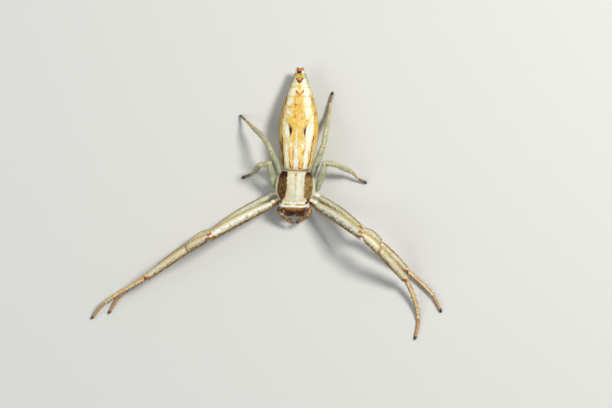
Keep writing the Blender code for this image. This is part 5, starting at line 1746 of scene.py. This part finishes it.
def add_spines(pair, side, grid, facts, claw_skin):
    """Bristle-like spines under the grasping legs, small ones on top, and two claws on every foot."""
    points, ways = leg_joints(pair, side)
    flat, normals = grid.reshape(-1, 3), grid_normals(grid).reshape(-1, 3)
    pieces = []

    def grow(index, share, up, fore, length, forward, colour, thin=1.0):
        vertex = nearest_vertex(facts, index, share, up, fore)
        root, out = flat[vertex], normals[vertex]
        way = unit(out + forward * ways[index])
        if way[2] < 0:
            length = min(length, 0.9 * root[2] / -way[2])
        end = root + way * length + 0.10 * length * ways[index]
        radii = [(along, thin * radius) for along, radius in SPINE_RADII]
        spine = tube([root - 0.02 * way, (root + end) / 2 + 0.03 * out, end], radii, 8, 7)
        spine[..., 2] = np.maximum(spine[..., 2], 0.003)
        pieces.append((spine, plain(spine, colour)))

    if pair in FRONT_PAIRS:
        for index, shares in SPINE_PLACES.items():
            for share in shares:
                for fore in (-0.55, 0.60):
                    grow(index, share, -0.80, fore, SPINE_LENGTHS[index], 1.5, DARK_BROWN)
        for index, shares in BRISTLE_PLACES.items():
            for share in shares:
                grow(index, share, 0.97, 0.20, 0.22, 1.6, DARK_BROWN, 0.7)
    else:
        for index in (FEMUR, TIBIA):
            for share in (0.35, 0.70):
                grow(index, share, 0.95, 0.1, 0.20, 1.4, BROWN, 0.6)
    way, tip = ways[TARSUS], points[TARSUS + 1]
    level = unit(way * [1, 1, 0])
    across = np.cross(level, [0, 0, 1.0])
    for sign in (-1, 1):
        root = tip - 0.05 * way + sign * 0.035 * across
        line = [root, root + 0.07 * level + [0, 0, 0.02], root + 0.13 * level - [0, 0, 0.04],
                root + 0.12 * level - [0, 0, tip[2] - 0.012]]
        claw = tube(line, CLAW_RADII, 14, 8)
        claw[..., 2] = np.maximum(claw[..., 2], 0.0)
        pieces.append((claw, plain(claw, SOOT)))
    obj = add_grids(f"leg_{pair}_{side}_spines", pieces, claw_skin)


def front_leg_hair(pair, facts, clump, free):
    """The kinds of hair on a grasping leg, each with where it grows."""
    index, d, length, up, fore = facts
    upper_parts = index < METATARSUS
    knee = (index == FEMUR) * smooth(length - d, 0.5, 0.2) + (index == PATELLA)
    fringe = free * upper_parts * smooth(fore, 0.55, 0.85) * smooth(up, 0.70, 0.40)
    rear = free * upper_parts * smooth(-fore, 0.60, 0.85)
    under = free * smooth(-up, 0.3, 0.7)
    top = free * smooth(up, 0.1, 0.5) * (1 - 0.8 * knee)
    feet = (index >= METATARSUS) * (0.6 + 0.8 * (index == TARSUS)) * (1 - 0.7 * smooth(up, 0.2, 0.8))
    return [
        (Hair(2600 if pair == 1 else 900, 0.13, 0.0085, 0.50, BROWN, 0.75), fringe * (0.05 + clump)),
        (Hair(2600, 0.13, 0.008, 0.50, LEG_CREAM, 0.6), fringe),
        (Hair(700, 0.09, 0.006, 0.35, LEG_TAN if pair == 1 else BROWN, 0.7), rear * (0.2 + clump)),
        (Hair(1500, 0.12, 0.007, 0.50, BROWN, 0.6), under),
        (Hair(1700, 0.10, 0.0055, 0.22, LEG_CREAM, 0.15), top * upper_parts),
        (Hair(420, 0.09, 0.006, 0.30, BROWN, 0.8), top * upper_parts),
        (Hair(1500, 0.10, 0.0055, 0.32, CHESTNUT, 0.5), feet),
    ]


def add_leg_coat(pair, side, grid, facts, paint, bristle, rng):
    """Hair of a leg: a fringe along the front and under side, short hair over the rest, and a foot tuft."""
    facts = facts.reshape(-1, 5).T
    index, d, length, up, _ = facts
    clump = smooth(noise(grid.reshape(-1, 3), 9.0, 95), 0.42, 0.60)
    free = (index > COXA) * smooth(d, 0.05, 0.15) * smooth(length - d, 0.04, 0.12)
    foot = (index == TARSUS) * smooth(length - d, 0.34, 0.10)
    if pair in FRONT_PAIRS:
        kinds = front_leg_hair(pair, facts, clump, free)
    else:
        kinds = [(Hair(1500, 0.09, 0.005, 0.30, BUFF, 0.3), free),
                 (Hair(450, 0.10, 0.0055, 0.38, UMBER, 0.8), free)]
    tuft = Hair(260 if pair in FRONT_PAIRS else 170, 0.11, 0.0065, 0.40, SOOT, 0.95)
    kinds.append((tuft, foot * (0.3 + smooth(-up, -0.4, 0.4))))
    groups = [hair_group(grid, paint, hair, weight, rng) for hair, weight in kinds]
    coat = add_hairs(f"leg_{pair}_{side}_coat", groups, bristle)


# The way that the carapace's hairs lie
AHEAD = (0.0, -1.0, 0.1)


def add_body_coat(abdomen, carapace, bristle, rng):
    """Fine short hairs that lie backwards on the abdomen and forwards on the carapace."""
    grid, facts, paint = abdomen
    back, _, n, _ = facts.T
    place = smooth(back, 0.1, 0.5)
    kinds = (
        (Hair(4200, 0.11, 0.005, 0.28, CREAM, 0.15), place),
        (Hair(1500, 0.13, 0.006, 0.36, BROWN, 0.8), place * (0.3 + smooth(np.abs(n), 0.7, 0.9))),
        (Hair(500, 0.18, 0.007, 0.45, DARK_BROWN, 0.8), smooth(back, 6.4, 7.4)),
    )
    groups = [hair_group(grid, paint, hair, weight, rng) for hair, weight in kinds]
    add_hairs("abdomen_coat", groups, bristle)
    grid, paint = carapace
    across, forward, height = np.abs(grid[..., 0]).ravel(), -grid[..., 1].ravel(), grid[..., 2].ravel()
    up = grid_normals(grid)[..., 2].ravel()
    top = smooth(up, -0.1, 0.3) * smooth(height, 1.62, 1.75)
    head = smooth(forward, 2.3, 2.5) * smooth(height, 1.6, 1.75)
    kinds = (
        (Hair(1300, 0.08, 0.0045, 0.22, CREAM, 0.05), top),
        (Hair(450, 0.10, 0.0055, 0.35, DARK_BROWN, 0.6), top * smooth(across, 0.6, 0.9)),
        (Hair(260, 0.14, 0.006, 0.50, DARK_BROWN, 0.85), head),
    )
    groups = [hair_group(grid, paint, hair, weight, rng, lean=AHEAD) for hair, weight in kinds]
    add_hairs("carapace_coat", groups, bristle)


# Camera and light

# What the camera looks at, in millimetres from the waist, and its distance, lean and roll in degrees
CAMERA_TARGET = (0.88, -2.59, 1.5)
CAMERA_DISTANCE = 198.9
CAMERA_LEAN = 5
CAMERA_ROLL = 2.24
CAMERA_LENS = 150
CAMERA_SENSOR = 36
# Name, place in metres, size in metres, power in watts and colour
LIGHTS = (
    ("key", (0.11, 0.07, 0.16), 0.045, 0.40, (1.0, 0.98, 0.93)),
    ("fill", (-0.14, -0.04, 0.14), 0.14, 0.12, (1.0, 1.0, 1.0)),
)
SKY = (0.92, 0.96, 1.0, 1.0)
SKY_STRENGTH = 0.34
FLOOR_SIZE = 0.6
FLOOR_GREY = (0.62, 0.62, 0.60, 1.0)
FLOOR_ROUGHNESS = 0.8


def add_camera():
    """The photo's view: from above, leaning a little to the animal's left."""
    data = bpy.data.cameras.new("camera")
    data.lens = CAMERA_LENS
    data.sensor_width = CAMERA_SENSOR
    data.clip_start = 0.001
    data.clip_end = 10
    camera = bpy.data.objects.new("camera", data)
    bpy.context.scene.collection.objects.link(camera)
    lean, roll = math.radians(CAMERA_LEAN), math.radians(CAMERA_ROLL)
    back = Vector((math.sin(lean), 0, math.cos(lean)))
    flat_right = Vector((0, 1, 0)).cross(back)
    flat_up = back.cross(flat_right)
    right = flat_right * math.cos(roll) + flat_up * math.sin(roll)
    up = flat_up * math.cos(roll) - flat_right * math.sin(roll)
    place = Matrix((right, up, back)).transposed().to_4x4()
    place.translation = Vector(WAIST) + Vector(CAMERA_TARGET) * MM + back * (CAMERA_DISTANCE * MM)
    camera.matrix_world = place
    bpy.context.scene.camera = camera


def add_light(name, place, size, power, colour):
    data = bpy.data.lights.new(name, "AREA")
    data.size = size
    data.energy = power
    data.color = colour
    light = bpy.data.objects.new(name, data)
    light.location = place
    light.rotation_euler = Vector(place).to_track_quat("Z", "Y").to_euler()
    bpy.context.scene.collection.objects.link(light)


def add_studio():
    for light in LIGHTS:
        add_light(*light)
    world = bpy.data.worlds.new("world")
    world.use_nodes = True
    sky = world.node_tree.nodes["Background"]
    sky.inputs["Color"].default_value = SKY
    sky.inputs["Strength"].default_value = SKY_STRENGTH
    bpy.context.scene.world = world
    bpy.context.scene.view_settings.view_transform = "Standard"
    bpy.ops.mesh.primitive_plane_add(size=FLOOR_SIZE)
    floor = bpy.context.object
    floor.name = "floor"
    material = bpy.data.materials.new("floor")
    material.use_nodes = True
    shader = material.node_tree.nodes["Principled BSDF"]
    shader.inputs["Base Color"].default_value = FLOOR_GREY
    shader.inputs["Roughness"].default_value = FLOOR_ROUGHNESS
    floor.data.materials.append(material)


def build():
    rng = np.random.default_rng(SEED)
    add_camera()
    add_studio()
    leg_skin = cuticle("leg_cuticle", roughness=0.40, subsurface=0.15, coat=0.15, specular=0.4)
    dark_horn = cuticle("dark_horn", roughness=0.22, subsurface=0.0, coat=0.6, relief=0.12)
    bristle = cuticle("bristle", roughness=0.60, subsurface=0.0, coat=0.0, relief=0.05, specular=0.2)
    for pair in LENGTHS:
        for side in SIDES:
            grid, facts, paint = add_leg(pair, side, leg_skin)
            add_spines(pair, side, grid, facts, dark_horn)
            add_leg_coat(pair, side, grid, facts, paint, bristle, rng)
    abdomen_skin = cuticle("abdomen_cuticle", roughness=0.55, subsurface=0.04, coat=0.01, relief=0.40,
                           specular=0.08)
    abdomen = add_abdomen(abdomen_skin)
    head_skin = cuticle("carapace_cuticle", roughness=0.55, subsurface=0.03, coat=0.0, relief=0.40,
                        specular=0.05)
    carapace = add_carapace(head_skin)
    add_sternum(head_skin)
    jaw_skin = cuticle("jaw_cuticle", roughness=0.36, subsurface=0.0, coat=0.15, relief=0.20, specular=0.3)
    palp_skin = cuticle("palp_cuticle", roughness=0.45, subsurface=0.25, coat=0.1, specular=0.3)
    glass = cuticle("eye_glass", roughness=0.12, subsurface=0.0, coat=1.0, relief=0.02, mottle=0.05)
    for side in SIDES:
        add_chelicera(side, jaw_skin)
        add_palp(side, palp_skin, bristle, rng)
        for name, diameter, angles, colour in EYES:
            add_eye(name, diameter, angles, colour, side, glass)
    add_spinnerets(palp_skin, bristle, rng)
    add_body_coat(abdomen, carapace, bristle, rng)


build()
